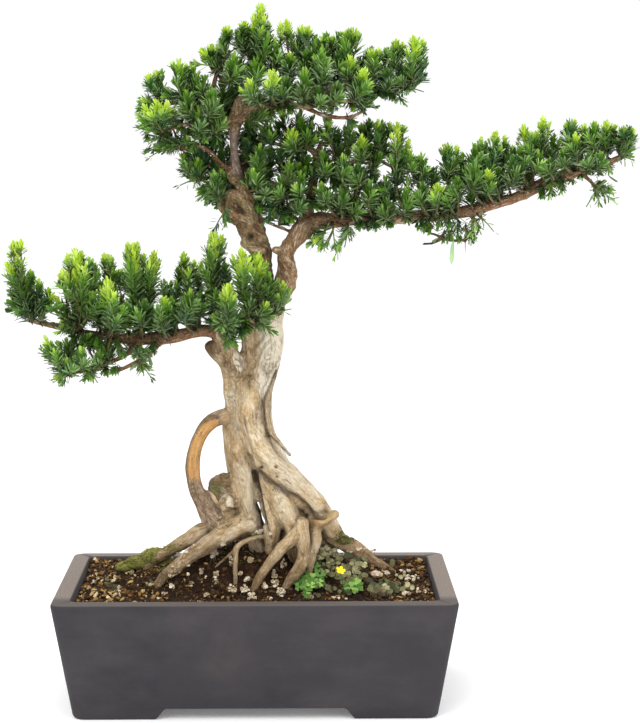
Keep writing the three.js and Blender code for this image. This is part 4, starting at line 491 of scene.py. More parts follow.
def new_object(name, data):
    """A new object of the scene with this mesh, lamp or lens."""
    made = bpy.data.objects.new(name, data)
    bpy.context.scene.collection.objects.link(made)
    return made


def paint(mesh, key, values):
    """Stores a number or a vector at each point of a mesh."""
    values = np.asarray(values, np.float32)
    kind, field = ("FLOAT", "value") if values.ndim == 1 else ("FLOAT_VECTOR", "vector")
    mesh.attributes.new(key, kind, "POINT").data.foreach_set(field, values.ravel())


def smooth_faces(mesh, smooth=True):
    mesh.polygons.foreach_set("use_smooth", np.full(len(mesh.polygons), smooth))


def mesh_object(name, points, faces, attributes=None, smooth=True):
    """A new object from points in millimetres and faces, with named point attributes."""
    mesh = bpy.data.meshes.new(name)
    mesh.from_pydata((np.asarray(points) + SHIFT) * MM, [], faces)
    for key, values in (attributes or {}).items():
        paint(mesh, key, values)
    smooth_faces(mesh, smooth)
    mesh.update()
    return new_object(name, mesh)


def mesh_of(name, work):
    """The mesh of a finished bmesh, which is freed."""
    mesh = bpy.data.meshes.new(name)
    work.to_mesh(mesh)
    work.free()
    return mesh


def apply_modifiers(piece):
    """Gives an object the plain mesh that its modifiers make."""
    bpy.context.view_layer.update()
    made = piece.evaluated_get(bpy.context.evaluated_depsgraph_get())
    plain = bpy.data.meshes.new_from_object(made)
    piece.modifiers.clear()
    piece.data = plain
    return plain


def rough_ball(work, subdivisions, radius, base, swells):
    """Adds a ball: its vertices and their places, swollen by noises of a strength, a scale and a seed."""
    ball = bmesh.ops.create_icosphere(work, subdivisions=subdivisions, radius=radius)["verts"]
    spots = np.array([vertex.co[:] for vertex in ball])
    grow = base
    for strength, scale, seed in swells:
        grow = grow + strength * noise(spots * scale, seed)
    return ball, spots * grow[:, None]


def strongest(first, *others):
    """The greatest of several masks at each point."""
    for other in others:
        first = np.maximum(first, other)
    return first


def face_outward(piece):
    work = bmesh.new()
    work.from_mesh(piece.data)
    bmesh.ops.recalc_face_normals(work, faces=work.faces)
    if work.calc_volume(signed=True) < 0:
        bmesh.ops.reverse_faces(work, faces=work.faces)
    work.to_mesh(piece.data)
    work.free()


def finish_piece(piece, slot_name, material, *nodes):
    if material:
        piece.data.materials.clear()
        piece.data.materials.append(material)
    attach(piece, "root")
    if nodes:
        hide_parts(*nodes)
    return piece


class Tubes:
    """Collects closed tapering tubes for one mesh."""

    def __init__(self):
        self.points, self.faces, self.values = [], [], []

    def add(self, path, radii, sides, value=0.0):
        across, side = turning_frames(path)
        first = len(self.points)
        for point, a, b, radius in zip(path, across, side, radii):
            for k in range(sides):
                turn = 2 * math.pi * k / sides
                self.points.append(point + (a * math.cos(turn) + b * math.sin(turn)) * radius)
        rings = len(path)
        for r in range(rings - 1):
            for k in range(sides):
                low, high = first + r * sides, first + (r + 1) * sides
                after = (k + 1) % sides
                self.faces.append((low + k, low + after, high + after, high + k))
        self.faces.append(tuple(first + k for k in reversed(range(sides))))
        self.faces.append(tuple(first + (rings - 1) * sides + k for k in range(sides)))
        self.values.extend([value] * (rings * sides))


# Materials

def linear(text):
    values = [int(text[i:i + 2], 16) / 255 for i in (1, 3, 5)]
    return (*[v / 12.92 if v <= 0.04045 else ((v + 0.055) / 1.055) ** 2.4 for v in values], 1.0)


def node(tree, kind, settings=None, links=None):
    """Adds a node: integer and input names set inputs, other names set the node's own fields."""
    made = tree.nodes.new(kind)
    for key, value in (settings or {}).items():
        if isinstance(key, str) and key not in made.inputs:
            setattr(made, key, value)
    for key, value in (settings or {}).items():
        if isinstance(key, int) or key in made.inputs:
            made.inputs[key].default_value = value
    for key, source in (links or {}).items():
        tree.links.new(source, made.inputs[key])
    return made


def per(size):
    """The scale of a pattern whose features are this many millimetres wide."""
    return 1000 / size


class Look:
    """One procedural material, built from small steps that each return a socket."""

    def __init__(self, name, roughness, specular=0.5):
        self.material = bpy.data.materials.new(name)
        self.material.use_nodes = True
        self.tree = self.material.node_tree
        self.surface = self.tree.nodes["Principled BSDF"]
        self.surface.inputs["Roughness"].default_value = roughness
        self.surface.inputs["Specular IOR Level"].default_value = specular
        self.place = node(self.tree, "ShaderNodeTexCoord").outputs["Object"]
        self.height = None

    def attribute(self, name, output="Fac"):
        return node(self.tree, "ShaderNodeAttribute", {"attribute_name": name}).outputs[output]

    def stretched(self, x, y, z, source=None):
        return node(self.tree, "ShaderNodeMapping", {"Scale": (x, y, z)},
                    {"Vector": source or self.place}).outputs[0]

    def noise(self, size, detail=4, rough=0.6, source=None, distortion=0.0):
        return node(self.tree, "ShaderNodeTexNoise",
                    {"Scale": per(size), "Detail": detail, "Roughness": rough, "Distortion": distortion},
                    {"Vector": source or self.place}).outputs["Fac"]

    def cells(self, size, output="Distance", source=None, feature="F1"):
        return node(self.tree, "ShaderNodeTexVoronoi", {"Scale": per(size), "feature": feature},
                    {"Vector": source or self.place}).outputs[output]

    def noise_warp(self, size, share=0.5):
        """The place, pushed about by a pattern of this size in millimetres."""
        pushed = node(self.tree, "ShaderNodeTexNoise", {"Scale": per(size), "Detail": 3},
                      {"Vector": self.place})
        reach = (size * share * MM,) * 3
        return node(self.tree, "ShaderNodeVectorMath", {"operation": "MULTIPLY_ADD", 1: reach},
                    {0: pushed.outputs["Color"], 2: self.place}).outputs[0]

    def ramp(self, source, *stops):
        made = node(self.tree, "ShaderNodeValToRGB", None, {"Fac": source})
        points = made.color_ramp.elements
        while len(points) < len(stops):
            points.new(1.0)
        for point, (where, colour) in zip(points, stops):
            point.position = where
            point.color = linear(colour) if isinstance(colour, str) else (colour, colour, colour, 1)
        return made.outputs["Color"]

    def math(self, operation, a, b=0.0, c=0.0, clamp=False):
        made = node(self.tree, "ShaderNodeMath", {"operation": operation, "use_clamp": clamp})
        for i, value in enumerate((a, b, c)):
            if isinstance(value, (int, float)):
                made.inputs[i].default_value = value
            else:
                self.tree.links.new(value, made.inputs[i])
        return made.outputs[0]

    def mix(self, share, a, b, blend="MIX"):
        made = node(self.tree, "ShaderNodeMix", {"data_type": "RGBA", "blend_type": blend})
        for i, value in ((0, share), (6, a), (7, b)):
            if isinstance(value, str):
                made.inputs[i].default_value = linear(value)
            elif isinstance(value, (int, float)):
                made.inputs[i].default_value = value
            else:
                self.tree.links.new(value, made.inputs[i])
        return made.outputs[2]

    def bump(self, source, depth, strength=1.0):
        made = node(self.tree, "ShaderNodeBump", {"Strength": strength, "Distance": depth * MM},
                    {"Height": source})
        if self.height:
            self.tree.links.new(self.height, made.inputs["Normal"])
        self.height = made.outputs[0]

    def done(self, colour, rough=None):
        self.tree.links.new(colour, self.surface.inputs["Base Color"])
        if rough is not None:
            self.tree.links.new(rough, self.surface.inputs["Roughness"])
        if self.height:
            self.tree.links.new(self.height, self.surface.inputs["Normal"])
        return self.material


# Old juniper-brown bark over pale bare wood: the flutes run with the grain, weathered faces dry to cream and
# the arch root shows orange heartwood. Raised crests also get a painted highlight in cream, and clefts,
# creases, hollows, the upper trunk, the root bottoms and the left flank get painted shade.
def wood_material():
    look = Look("weathered wood and bark", 0.8, 0.2)
    grain = look.attribute("grain", "Vector")
    fibre = look.noise(2.2, 6, 0.7, grain)
    streak = look.noise(8, 5, 0.65, grain)
    blotch = look.noise(24, 5, 0.65)
    patch = look.noise(9, 6, 0.7)
    fine = look.noise(1.2, 4, 0.75)
    flow = look.noise(11, 4, 0.6, grain, 0.6)
    split = look.math("ABSOLUTE", look.math("SUBTRACT", flow, 0.5))
    cracks = look.math("MULTIPLY", look.ramp(split, (0.0, 1.0), (0.018, 0.0)),
                       look.ramp(blotch, (0.5, 0.0), (0.6, 1.0)))
    hair = look.noise(1.3, 3, 0.6, grain)
    tan = look.ramp(streak, (0.3, "#A38454"), (0.48, "#CDB284"), (0.66, "#E7D3B0"))
    tan = look.mix(look.ramp(patch, (0.5, 0.0), (0.7, 0.65)), tan, "#EBDCC2")
    tan = look.mix(look.ramp(patch, (0.3, 0.65), (0.46, 0.0)), tan, "#93734C")
    tan = look.mix(look.ramp(look.noise(15, 6, 0.72), (0.5, 0.0), (0.62, 0.55)), tan, "#B8AC92")
    edges = look.cells(4.2, source=look.noise_warp(5.0), feature="DISTANCE_TO_EDGE")
    flakes = look.ramp(edges, (0.02, 1.0), (0.09, 0.0))
    tan = look.mix(look.math("MULTIPLY", flakes, 0.12), tan, "#7A5E3C")
    scale = look.noise(4.5, 6, 0.75, look.stretched(1, 1, 0.65))
    bark = look.ramp(scale, (0.3, "#493722"), (0.46, "#8A6F4A"), (0.56, "#B09670"), (0.72, "#D3BC96"))
    bark = look.mix(look.math("MULTIPLY", flakes, 0.45), bark, "#3C2C1C")
    redness = look.math("MULTIPLY", look.attribute("red"), look.ramp(blotch, (0.35, 0.35), (0.55, 1.0)))
    bark = look.mix(redness, bark,
                    look.ramp(streak, (0.3, "#5A3220"), (0.5, "#8F5838"), (0.7, "#B98560")))
    pale = look.ramp(fibre, (0.28, "#B0A084"), (0.42, "#DCCFB4"), (0.7, "#F6EFDF"))
    pale = look.mix(look.ramp(patch, (0.3, 0.5), (0.46, 0.0)), pale, "#A8957A")
    orange = look.ramp(streak, (0.3, "#B98446"), (0.5, "#D5A262"), (0.7, "#E8C492"))
    moss = look.ramp(look.noise(3, 4, 0.7), (0.35, "#39431D"), (0.6, "#6F7B3A"), (0.8, "#9AA457"))
    colour = look.mix(look.attribute("bark"), tan, bark)
    # Pale bare weathered wood, plus a painted highlight on raised crests.
    colour = look.mix(look.attribute("pale"), colour, pale)
    colour = look.mix(look.attribute("mauve"), colour,
                      look.ramp(fibre, (0.3, "#7E675C"), (0.5, "#AE988C"), (0.7, "#D6C6BC")))
    colour = look.mix(look.ramp(blotch, (0.5, 0.0), (0.72, 0.35)), colour, "#96764F", "MULTIPLY")
    for source, low, high, stain in ((fibre, (0.3, 0.5), (0.4, 0.0), "#6B5338"),
                                     (hair, (0.55, 0.0), (0.66, 0.55), "#F0E7D4"),
                                     (hair, (0.34, 0.45), (0.44, 0.0), "#7E6546")):
        colour = look.mix(look.ramp(source, low, high), colour, stain)
    colour = look.mix(look.math("MULTIPLY", cracks, 0.6), colour, "#453322")
    colour = look.mix(look.ramp(fine, (0.26, 0.4), (0.34, 0.0)), colour, "#4A3726")
    colour = look.mix(look.attribute("orange"), colour, orange)
    # An olive stain tint, and painted shade multiplied into the colour.
    brown = look.attribute("brown")
    stain = look.ramp(look.noise(11, 5, 0.65), (0.32, "#77744A"), (0.5, "#A88E68"), (0.68, "#B79080"))
    colour = look.mix(look.math("MULTIPLY", brown, 0.35), colour, stain)
    colour = look.mix(brown, colour, "#DACDBE", "MULTIPLY")
    colour = look.mix(look.attribute("moss"), colour, moss)
    # Dark marks of the wood's own colour, plus painted shade in clefts, creases and hollows.
    colour = look.mix(look.attribute("dark"), colour, "#241709")
    look.bump(look.math("SUBTRACT", fibre, cracks), 1.1, 1.0)
    look.bump(streak, 1.6, 0.7)
    look.bump(patch, 1.3, 0.7)
    look.bump(look.math("MULTIPLY", scale, look.attribute("bark")), 2.4, 1.0)
    look.bump(fine, 0.4, 0.8)
    look.bump(look.math("MULTIPLY", flakes, -1.0), 0.5, 0.8)
    return look.done(colour)


# Wood: every strand is a fat line in one distance field, and soft joins fuse them as growth does.

VOXEL = 1.67
# The distance field is known this far from the wood's surface.
REACH = 8.0
# A strand's path has a point about every STRAND_STEP, and MARGIN is left round it when points are sorted.
STRAND_STEP = 4.5
MARGIN = 9
CRUSTY = {"left_leader", "right_leader", "burl"}
BODY = {row[0] for row in TRUNK_STRANDS} | {"deadwood", "left_arm", "left_leader", "right_leader"}


class Strand:
    def __init__(self, name, sides, rows):
        self.name = name
        self.sides = sides
        self.points, self.radii, self.lengths = curve_through(
            [[*seen(x, z, depth), radius] for x, z, depth, radius in rows], STRAND_STEP)
        self.across, self.side = turning_frames(self.points)
        self.low = self.points.min(0) - self.radii.max() - MARGIN
        self.high = self.points.max(0) + self.radii.max() + MARGIN

    def near(self, places):
        """Distance to the strand's surface, and the place in the strand's own frame."""
        best = np.full(len(places), 1e6)
        where = np.zeros((len(places), 4))
        for i in range(len(self.points) - 1):
            a, b = self.points[i], self.points[i + 1]
            d = b - a
            t = np.clip((places - a) @ d / (d @ d), 0, 1)
            away = places - a - t[:, None] * d
            radius = self.radii[i] + (self.radii[i + 1] - self.radii[i]) * t
            distance = np.linalg.norm(away, axis=1) - radius
            closer = distance < best
            best[closer] = distance[closer]
            spot = np.stack([away @ self.across[i], away @ self.side[i],
                             self.lengths[i] + t * np.linalg.norm(d), radius], 1)
            where[closer] = spot[closer]
        return best, where


STRANDS = [Strand(*row) for row in [*TRUNK_STRANDS, *LIMBS, *BRANCHES, *ROOTS, *FINE_STRANDS]]
# Strands that are braided of three cords round a thinner core, with the turn at which the first cord starts.
CORDED = {"left_root_back": 0.3, "left_root_front": 1.1, "front_root_left": 2.0, "front_root_right": 0.2,
          "side_root": 1.4, "back_root": 0.8, "back_root_left": 2.4, "left_branch": 1.7, "right_branch": 0.5,
          "diagonal": 2.2, "left_leg": 0.9, "shin": 1.5}
CORD_CORE = 0.84


def cords_of(strand, phase):
    """Three thinner strands that wind round a thick one and knot a little on their way."""
    draw = np.random.default_rng(int(phase * 100))
    made = []
    for k in range(3):
        cord = object.__new__(Strand)
        turn = phase + k * 2.1 + strand.lengths / (38 + 4 * k) + draw.uniform(-0.3, 0.3)
        wobble = noise(np.stack([strand.lengths / 11, turn * 0, turn * 0 + k * 9], 1), int(phase * 10) + k)
        reach = strand.radii * 0.42
        cord.name, cord.sides = strand.name, strand.sides
        cord.points = strand.points + (strand.across * np.cos(turn)[:, None]
                                       + strand.side * np.sin(turn)[:, None]) * reach[:, None]
        cord.radii = strand.radii * (0.6 + 0.11 * wobble)
        cord.lengths, cord.across, cord.side = strand.lengths, strand.across, strand.side
        cord.low, cord.high = strand.low, strand.high
        made.append(cord)
    return made


FIELD_STRANDS = []
for each in STRANDS:
    FIELD_STRANDS.append(each)
    if each.name in CORDED:
        FIELD_STRANDS += cords_of(each, CORDED[each.name])


def wood_field():
    low = np.min([s.low for s in STRANDS], axis=0) - 2
    high = np.max([s.high for s in STRANDS], axis=0) + 2
    shape = np.ceil((high - low) / VOXEL).astype(int)
    field = np.full(shape, REACH, np.float32)
    for strand in FIELD_STRANDS:
        core = CORD_CORE if strand.name in CORDED and strand in STRANDS else 1.0
        first = np.floor((strand.low - low) / VOXEL).astype(int)
        last = np.ceil((strand.high - low) / VOXEL).astype(int)
        own = np.full(last - first, REACH, np.float32)
        for i in range(len(strand.points) - 1):
            a, b = strand.points[i], strand.points[i + 1]
            reach = max(strand.radii[i], strand.radii[i + 1]) + REACH
            i0 = np.maximum(np.floor((np.minimum(a, b) - reach - low) / VOXEL).astype(int), first)
            i1 = np.minimum(np.ceil((np.maximum(a, b) + reach - low) / VOXEL).astype(int), last)
            axes = [(np.arange(i0[k], i1[k]) * VOXEL + low[k] - a[k]).astype(np.float32) for k in range(3)]
            x, y, z = np.meshgrid(*axes, indexing="ij", sparse=True)
            d = (b - a).astype(np.float32)
            t = np.clip((x * d[0] + y * d[1] + z * d[2]) / (d @ d), 0, 1)
            distance = np.sqrt((x - t * d[0]) ** 2 + (y - t * d[1]) ** 2 + (z - t * d[2]) ** 2)
            distance -= core * (strand.radii[i] + (strand.radii[i + 1] - strand.radii[i]) * t)
            box = tuple(slice(i0[k] - first[k], i1[k] - first[k]) for k in range(3))
            own[box] = np.minimum(own[box], distance)
        box = tuple(slice(first[k], last[k]) for k in range(3))
        other = field[box]
        if core == 1 and strand.name in CORDED:
            soft = 3
        elif strand.name in BODY:
            soft = 8
        else:
            soft = 5 if strand.sides > 4 else 3
        blend = np.maximum(soft - np.abs(own - other), 0) / soft
        field[box] = np.minimum(own, other) - blend * blend * soft * 0.25
    return field, low


def beside(x, z, path, width):
    """One on a drawn line of the front view, falling to zero at this width."""
    best = np.full(len(x), 1e6)
    for (x0, z0), (x1, z1) in zip(path, path[1:]):
        dx, dz = x1 - x0, z1 - z0
        t = np.clip(((x - x0) * dx + (z - z0) * dz) / (dx * dx + dz * dz), 0, 1)
        best = np.minimum(best, np.hypot(x - x0 - t * dx, z - z0 - t * dz))
    return np.clip(1 - best / width, 0, 1)


def smooth_step(values, low, high):
    share = np.clip((values - low) / (high - low), 0, 1)
    return share * share * (3 - 2 * share)


# Clefts of the trunk's front: depth, half width, then x and z of each point of a line of the front view.
CLEFTS = rows_of("""
3 4 -10 258 -5 246 -1 236, 8 3.6 -2 240 0 230 3 214 6 198 9 184, 3.5 4 8 190 11 180 15 168
4 6 2 240 16 228 30 219 44 212 54 203 60 192 72 190, 2.6 4 -14 300 -10 280 -6 262 -4 250
3 5 -12 376 -11 362 -9 348 -6 334, 2 4 14 204 20 192 24 180 22 166, 2 4 -24 206 -16 214 -12 228 -14 244
1.6 3 -2 398 -4 372 0 350 1 330, 2.2 4 36 178 44 188 50 198, 2.2 3.2 -8.5 336 -8 350 -7 361 -3 374 7 387
2.2 3 -2 330 -1 342 1 361 6.5 375 17 386, 2 3 3 330 4 342 5.5 358 10 370 20 381
2.4 3 -13 384 -12 370 -10 356 -7 344
""")


def make_wood():
    field, low = wood_field()
    grid = openvdb.FloatGrid(background=REACH)
    grid.copyFromArray(field)
    points, triangles, quads = grid.convertToPolygons(0.0, 0.0)
    points = np.asarray(points, float) * VOXEL + low
    faces = [tuple(map(int, f)) for f in triangles] + [tuple(map(int, f)) for f in quads]
    rough = mesh_object("rough_wood", points, faces)
    face_outward(rough)
    normals = np.empty(len(points) * 3, np.float32)
    rough.data.vertex_normals.foreach_get("vector", normals)
    normals = normals.reshape(-1, 3).astype(float)
    weight = np.zeros(len(points))
    relief = np.zeros(len(points))
    nearest = np.full(len(points), 1e6)
    grain = np.zeros((len(points), 3))
    size = np.zeros(len(points))
    owner = np.zeros(len(points), int)
    for index, strand in enumerate(STRANDS):
        inside = np.flatnonzero(np.all((points > strand.low) & (points < strand.high), axis=1))
        distance, where = strand.near(points[inside])
        share = np.exp(-np.clip(distance, 0, None) / 1.6)
        u, v, along, radius = where.T
        crusty = strand.name in CRUSTY
        turn = along * (0.05 if crusty else 0.006)
        u, v = u * np.cos(turn) - v * np.sin(turn), u * np.sin(turn) + v * np.cos(turn)
        flute = noise(np.stack([u / 7, v / 7, along / 70], 1), index)
        flute *= np.clip(radius * (0.26 if crusty else 0.09), 0.2, 2.4)
        ridge = noise(np.stack([u / 3.2, v / 3.2, along / 26], 1), index + 50)
        ridge *= np.clip(radius * 0.05, 0.15, 0.7)
        relief[inside] += share * (flute + ridge)
        weight[inside] += share
        distance = distance + noise(points[inside] / 4.0, index + 90) * 1.5
        closer = distance < nearest[inside]
        chosen = inside[closer]
        nearest[chosen] = distance[closer]
        size[chosen] = radius[closer]
        owner[chosen] = index
        grain[chosen] = np.stack([u, v, along * 0.24 + index * 37], 1)[closer]
    relief /= np.maximum(weight, 1e-3)
    # Painted shade in creases: the nearer other wood stands in front of a point's face, the darker it is
    # painted.
    crease_shade = np.zeros(len(points))
    for reach, limit in ((5.0, 4.4), (8.0, 7.2)):
        spot = np.rint((points + normals * reach - low) / VOXEL).astype(int)
        spot = np.clip(spot, 0, np.array(field.shape) - 1)
        crease_shade = np.maximum(crease_shade, np.clip(1 - field[tuple(spot.T)] / limit, 0, 1))
    x, z = front_view(points)

    def on(*words):
        """Whether the name of the nearest strand holds one of the words."""
        return np.isin(owner, [i for i, s in enumerate(STRANDS) if any(word in s.name for word in words)])

    front = points[:, 1] < 0
    upper = smooth_step(z, 395, 440)
    knotty = smooth_step(z, 470, 490) * smooth_step(z, 556, 540) * (x < 14)
    knotty = np.maximum(knotty, on("right_leader") * 0.8 + on("left_leader") * (z < 500) * 0.5)
    lumps = (noise(points / 5.5, 7) * 0.9 + noise(points / 11, 8) * 1.1) * upper * np.clip(size / 10, 0.2, 1)
    lumps *= 1 + knotty
    lumps += noise(points / 13, 9) * 1.5 * (1 - upper) * np.clip(size / 14, 0.15, 1)
    lumps += noise(points / 7, 10) * 0.8 * smooth_step(z, 240, 180) * np.clip(size / 9, 0.2, 1)
    crack = beside(x, z, [(22, 350), (15, 335), (7, 318), (8, 300), (12, 280), (24, 268), (33, 263)], 2.6)
    crack *= front
    pits = np.zeros(len(points))
    for px, pz, reach in [(5, 245, 2.4), (21, 246, 2.2), (22, 235, 2), (-5, 493, 5), (-62, 296, 2)]:
        pits = np.maximum(pits, np.clip(1.3 - np.hypot(x - px, z - pz) / reach, 0, 1) * front)
    groove = np.zeros(len(points))
    for depth, width, *path in CLEFTS:
        line = beside(x, z, np.reshape(path, (-1, 2)), width)
        groove = np.maximum(groove, depth * smooth_step(line, 0, 1) * (points[:, 1] < 6))
    knobs = on("mossy_knob", "pale_knob", "knob_top")
    lumps += (noise(points / 6, 11) * 2.2 + noise(points / 3, 12) * 0.8) * knobs
    points = points + normals * (relief + lumps - crack * 1.6 - pits * 1.4 - groove)[:, None]
    front = points[:, 1] < 0
    edge = np.interp(z, [255, 270, 290, 310, 330, 360, 395, 430], [30, 20, 10, 8, 2, 3, 0, 4])
    mottled = noise(points / 14, 3)
    mossy = on("mossy_knob", "knob_top")
    pale = smooth_step(x - edge + mottled * 2, -3, 4) * smooth_step(z, 225, 262) * smooth_step(z, 425, 395)
    slope = beside(x, z, [(10, 290), (30, 250), (60, 215), (84, 195)], 26)
    pale = strongest(pale * 0.95, 0.55 * smooth_step(mottled + slope, 0.5, 1.2),
                     0.5 * beside(x, z, [(-10, 240), (-4, 205), (2, 180)], 16))
    split_x = np.interp(z, [263, 268, 280, 300, 318, 335, 350, 358], [33, 24, 12, 8, 7, 15, 22, 23])
    strip = (x > split_x + 1) * smooth_step(z, 262, 272) * smooth_step(z, 362, 350) * (points[:, 1] < 8)
    pale *= 1 - 0.8 * strip
    scar = np.hypot((x + 19 + (z - 360) * 0.2) / 5.5, (z - 360) / 12) + mottled * 0.12
    scar = smooth_step(scar, 1.0, 0.8) * front
    pale = np.maximum(pale, scar)
    arch = on("arch_root") & (z > 228) & (z < 303) & (x < -40) & (points[:, 1] < 2)
    bared = beside(x, z, [(-43, 291), (-52, 288), (-59, 277), (-64, 262), (-66, 246), (-65, 236)], 9)
    arch = arch * smooth_step(z, 228, 238)
    orange = strongest(arch * smooth_step(bared + mottled * 0.1, 0.12, 0.3) * 0.95, on("cut_root") * 0.4)
    arch_edge = arch * smooth_step(bared, 0.3, 0.12)
    joint = on("arch_root") * smooth_step(x, -50, -45) * smooth_step(x, -34, -41) * (z > 260)
    twiggy = on("branch", "twig", "crown_", "mid_")
    bark = strongest(
        upper * 0.95,
        smooth_step(z, 165, 135) * 0.35,
        beside(x, z, [(-50, 375), (-38, 370), (-30, 355)], 16) * 0.9,
        strip * 0.7,
        smooth_step(z, 190, 150) * np.where(x < -25, 0.6, np.where(x > 75, 0.5, 0.25)),
        mossy * 0.9,
        on("arch_root", "arch_split") * smooth_step(z, 240, 228) * smooth_step(z, 180, 200),
        joint,
        twiggy * 1.0)
    bark *= 1 - pale * (1 - twiggy)
    red = strongest(
        on("left_twig", "left_low_twig", "right_twig") * 0.9
        + on("right_branch", "left_branch", "mid_limb") * 0.6,
        on("crown_right", "crown_left", "crown_arc") * 0.5,
        knotty * smooth_step(-lumps - relief, 0.2, 1.4) * 0.9,
        on("right_leader") * 0.25 + on("left_leader") * smooth_step(z, 500, 480) * 0.4,
        smooth_step(z, 180, 160) * smooth_step(x, 85, 100) * 0.5,
        on("stump") * smooth_step(x, -42, -48) * 0.7)
    mauve = on("arch_root", "arch_split") * np.maximum(smooth_step(z, 236, 226), joint) * 0.45
    mauve += on("left_leader") * smooth_step(z, 536, 552) * smooth_step(z, 612, 596) * 0.8
    lit = smooth_step(noise(points / 16, 21) + normals[:, 2] * 0.55, 0.62, 1.0)
    tufted = smooth_step(noise(points / 7, 22) + 0.6 * normals[:, 2], 0.2, 0.8)
    moss = strongest(
        lit * smooth_step(z, 235, 180) * 0.5,
        mossy * 0.6 * smooth_step(mottled, -0.3, 0.4),
        knotty * (x < 14) * smooth_step(lumps + relief, -0.6, 0.8) * 0.3,
        tufted * beside(x, z, [(86, 178), (98, 168), (108, 160)], 12) * 1.6)
    moss = np.clip(moss, 0, 0.9)
    disc = np.hypot(x + 28, (z - 207) * 0.9)
    sawn = points[:, 1] < -4
    pale = np.maximum(pale, sawn * smooth_step(disc, 5.2, 4.2))
    soiled = smooth_step(z + noise(points / 9, 31) * 9 - ground(points[:, 0], points[:, 1]), 22, 2)
    # Most of these marks are dark in their own colour; the clefts, creases and hollows are painted shade.
    dark = strongest(
        crack * 0.95,
        pits,
        mossy * 0.3,
        sawn * np.clip(1 - np.abs(disc - 6.2) / 1.4, 0, 1) * 0.6,
        arch_edge * 0.5,
        on("cut_root") * smooth_step(x, 84, 90) * 0.45,
        on("stump") * smooth_step(x, -41, -47) * 0.55,
        soiled * 0.4,
        # Painted shade in the clefts, darker where they are deeper.
        smooth_step(groove, 0.6, 5.0) * 0.85,
        smooth_step(crease_shade, 0.3, 1.0) * 0.5,
        on("bark_flap") * smooth_step(z, 270, 262) * 0.5,
        on("dark_twig") * 0.6,
        # Painted shade in the hollows of the relief.
        smooth_step(-relief, 0.7, 1.6) * 0.5)
    dark *= 1 - scar * 0.8
    # Painted highlight: raised crests of the lower wood are painted paler.
    pale = np.maximum(pale, 0.5 * smooth_step(relief + lumps, 0.0, 1.5) * (1 - upper) * (z > 130))
    # Painted shade, partly an olive stain: darker on the upper trunk, the root bottoms, the left flank and
    # in creases.
    brown = strongest(
        0.4 * smooth_step(z, 300, 340) * (z < 440),
        smooth_step(z, 205, 165) * 0.45,
        crease_shade * 0.5,
        smooth_step(x, -12, -26) * smooth_step(z, 320, 300) * 0.45)
    brown = np.clip(brown * (1 + mottled * 0.3) * (1 - pale), 0, 1)
    data = rough.data
    piece = mesh_object("wood_skin", points, [tuple(p.vertices) for p in data.polygons], {
        "grain": grain * MM, "pale": pale, "orange": orange, "bark": bark, "red": red, "moss": moss,
        "dark": dark, "mauve": mauve, "brown": brown})
    bpy.data.objects.remove(rough)
    return finish_piece(piece, "bark", wood_material(), "wood")


# Leaves: each shoot carries a spiral of long narrow leaves round its stem, and its newest ones are lime.

GOLDEN = math.pi * (3 - math.sqrt(5))


def leaf_material():
    look = Look("podocarpus leaf", 0.45, 0.25)
    youth = look.attribute("youth")
    # Each leaf's tone, darkened low in its spray as painted shade.
    tint = look.attribute("tint")
    mottled = look.noise(9, 3, 0.6)
    old = look.ramp(tint, (0.0, "#141F05"), (0.3, "#273B10"), (0.55, "#4A672B"), (0.8, "#7B9A56"),
                    (1.0, "#B8D29E"))
    middle = look.ramp(tint, (0.0, "#3E6E12"), (0.5, "#6A9C2E"), (1.0, "#A4CA66"))
    fresh = look.ramp(tint, (0.0, "#A0C62E"), (0.5, "#BEDC42"), (1.0, "#DAEE74"))
    colour = look.mix(look.ramp(youth, (0.0, 0.0), (0.45, 1.0)), old, middle)
    colour = look.mix(look.ramp(youth, (0.45, 0.0), (0.95, 1.0)), colour, fresh)
    withered = look.ramp(tint, (0.0, "#171E08"), (0.5, "#2E3614"), (0.72, "#4A4420"), (0.82, "#6B4528"),
                         (1.0, "#8A5C38"))
    colour = look.mix(look.attribute("shade"), colour, withered)
    colour = look.mix(look.ramp(mottled, (0.35, 0.2), (0.6, 0.0)), colour, "#22381F")
    cool = look.ramp(tint, (0.0, "#102818"), (0.5, "#2E5E3C"), (1.0, "#7EB08C"))
    cooled = look.math("MULTIPLY", look.ramp(look.noise(30, 3, 0.5), (0.5, 0.0), (0.62, 0.65)),
                       look.ramp(youth, (0.1, 1.0), (0.6, 0.0)))
    colour = look.mix(cooled, colour, cool)
    # Painted highlight along each leaf's raised midrib.
    colour = look.mix(look.math("MULTIPLY", look.attribute("rib"), 0.42), colour, "#BAD494")
    look.bump(look.noise(1.2, 2, 0.6), 0.12, 0.4)
    return look.done(colour)


def twig_material():
    look = Look("leafy twig", 0.7, 0.3)
    green = look.attribute("green")
    rough = look.noise(2.2, 4, 0.7)
    bark = look.ramp(rough, (0.3, "#33231A"), (0.5, "#5E4230"), (0.72, "#8A684C"))
    colour = look.mix(green, bark, look.ramp(rough, (0.3, "#3E6A2A"), (0.7, "#86A64B")))
    look.bump(rough, 0.5, 0.8)
    return look.done(colour)


# Stations of a leaf: how far along it they are, and its width there.
FULL_LEAF = ((0.3, 0.82), (0.8, 1.0))
SPARE_LEAF = ((0.3, 0.85), (0.8, 0.95))
INNER_LEAF = ((0.55, 1.1),)
# Which of the nine leaf shapes each layer of shoots draws from, the first up to the one before the second.
LEAF_KINDS = ((0, 4), (4, 7), (4, 7), (7, 9))


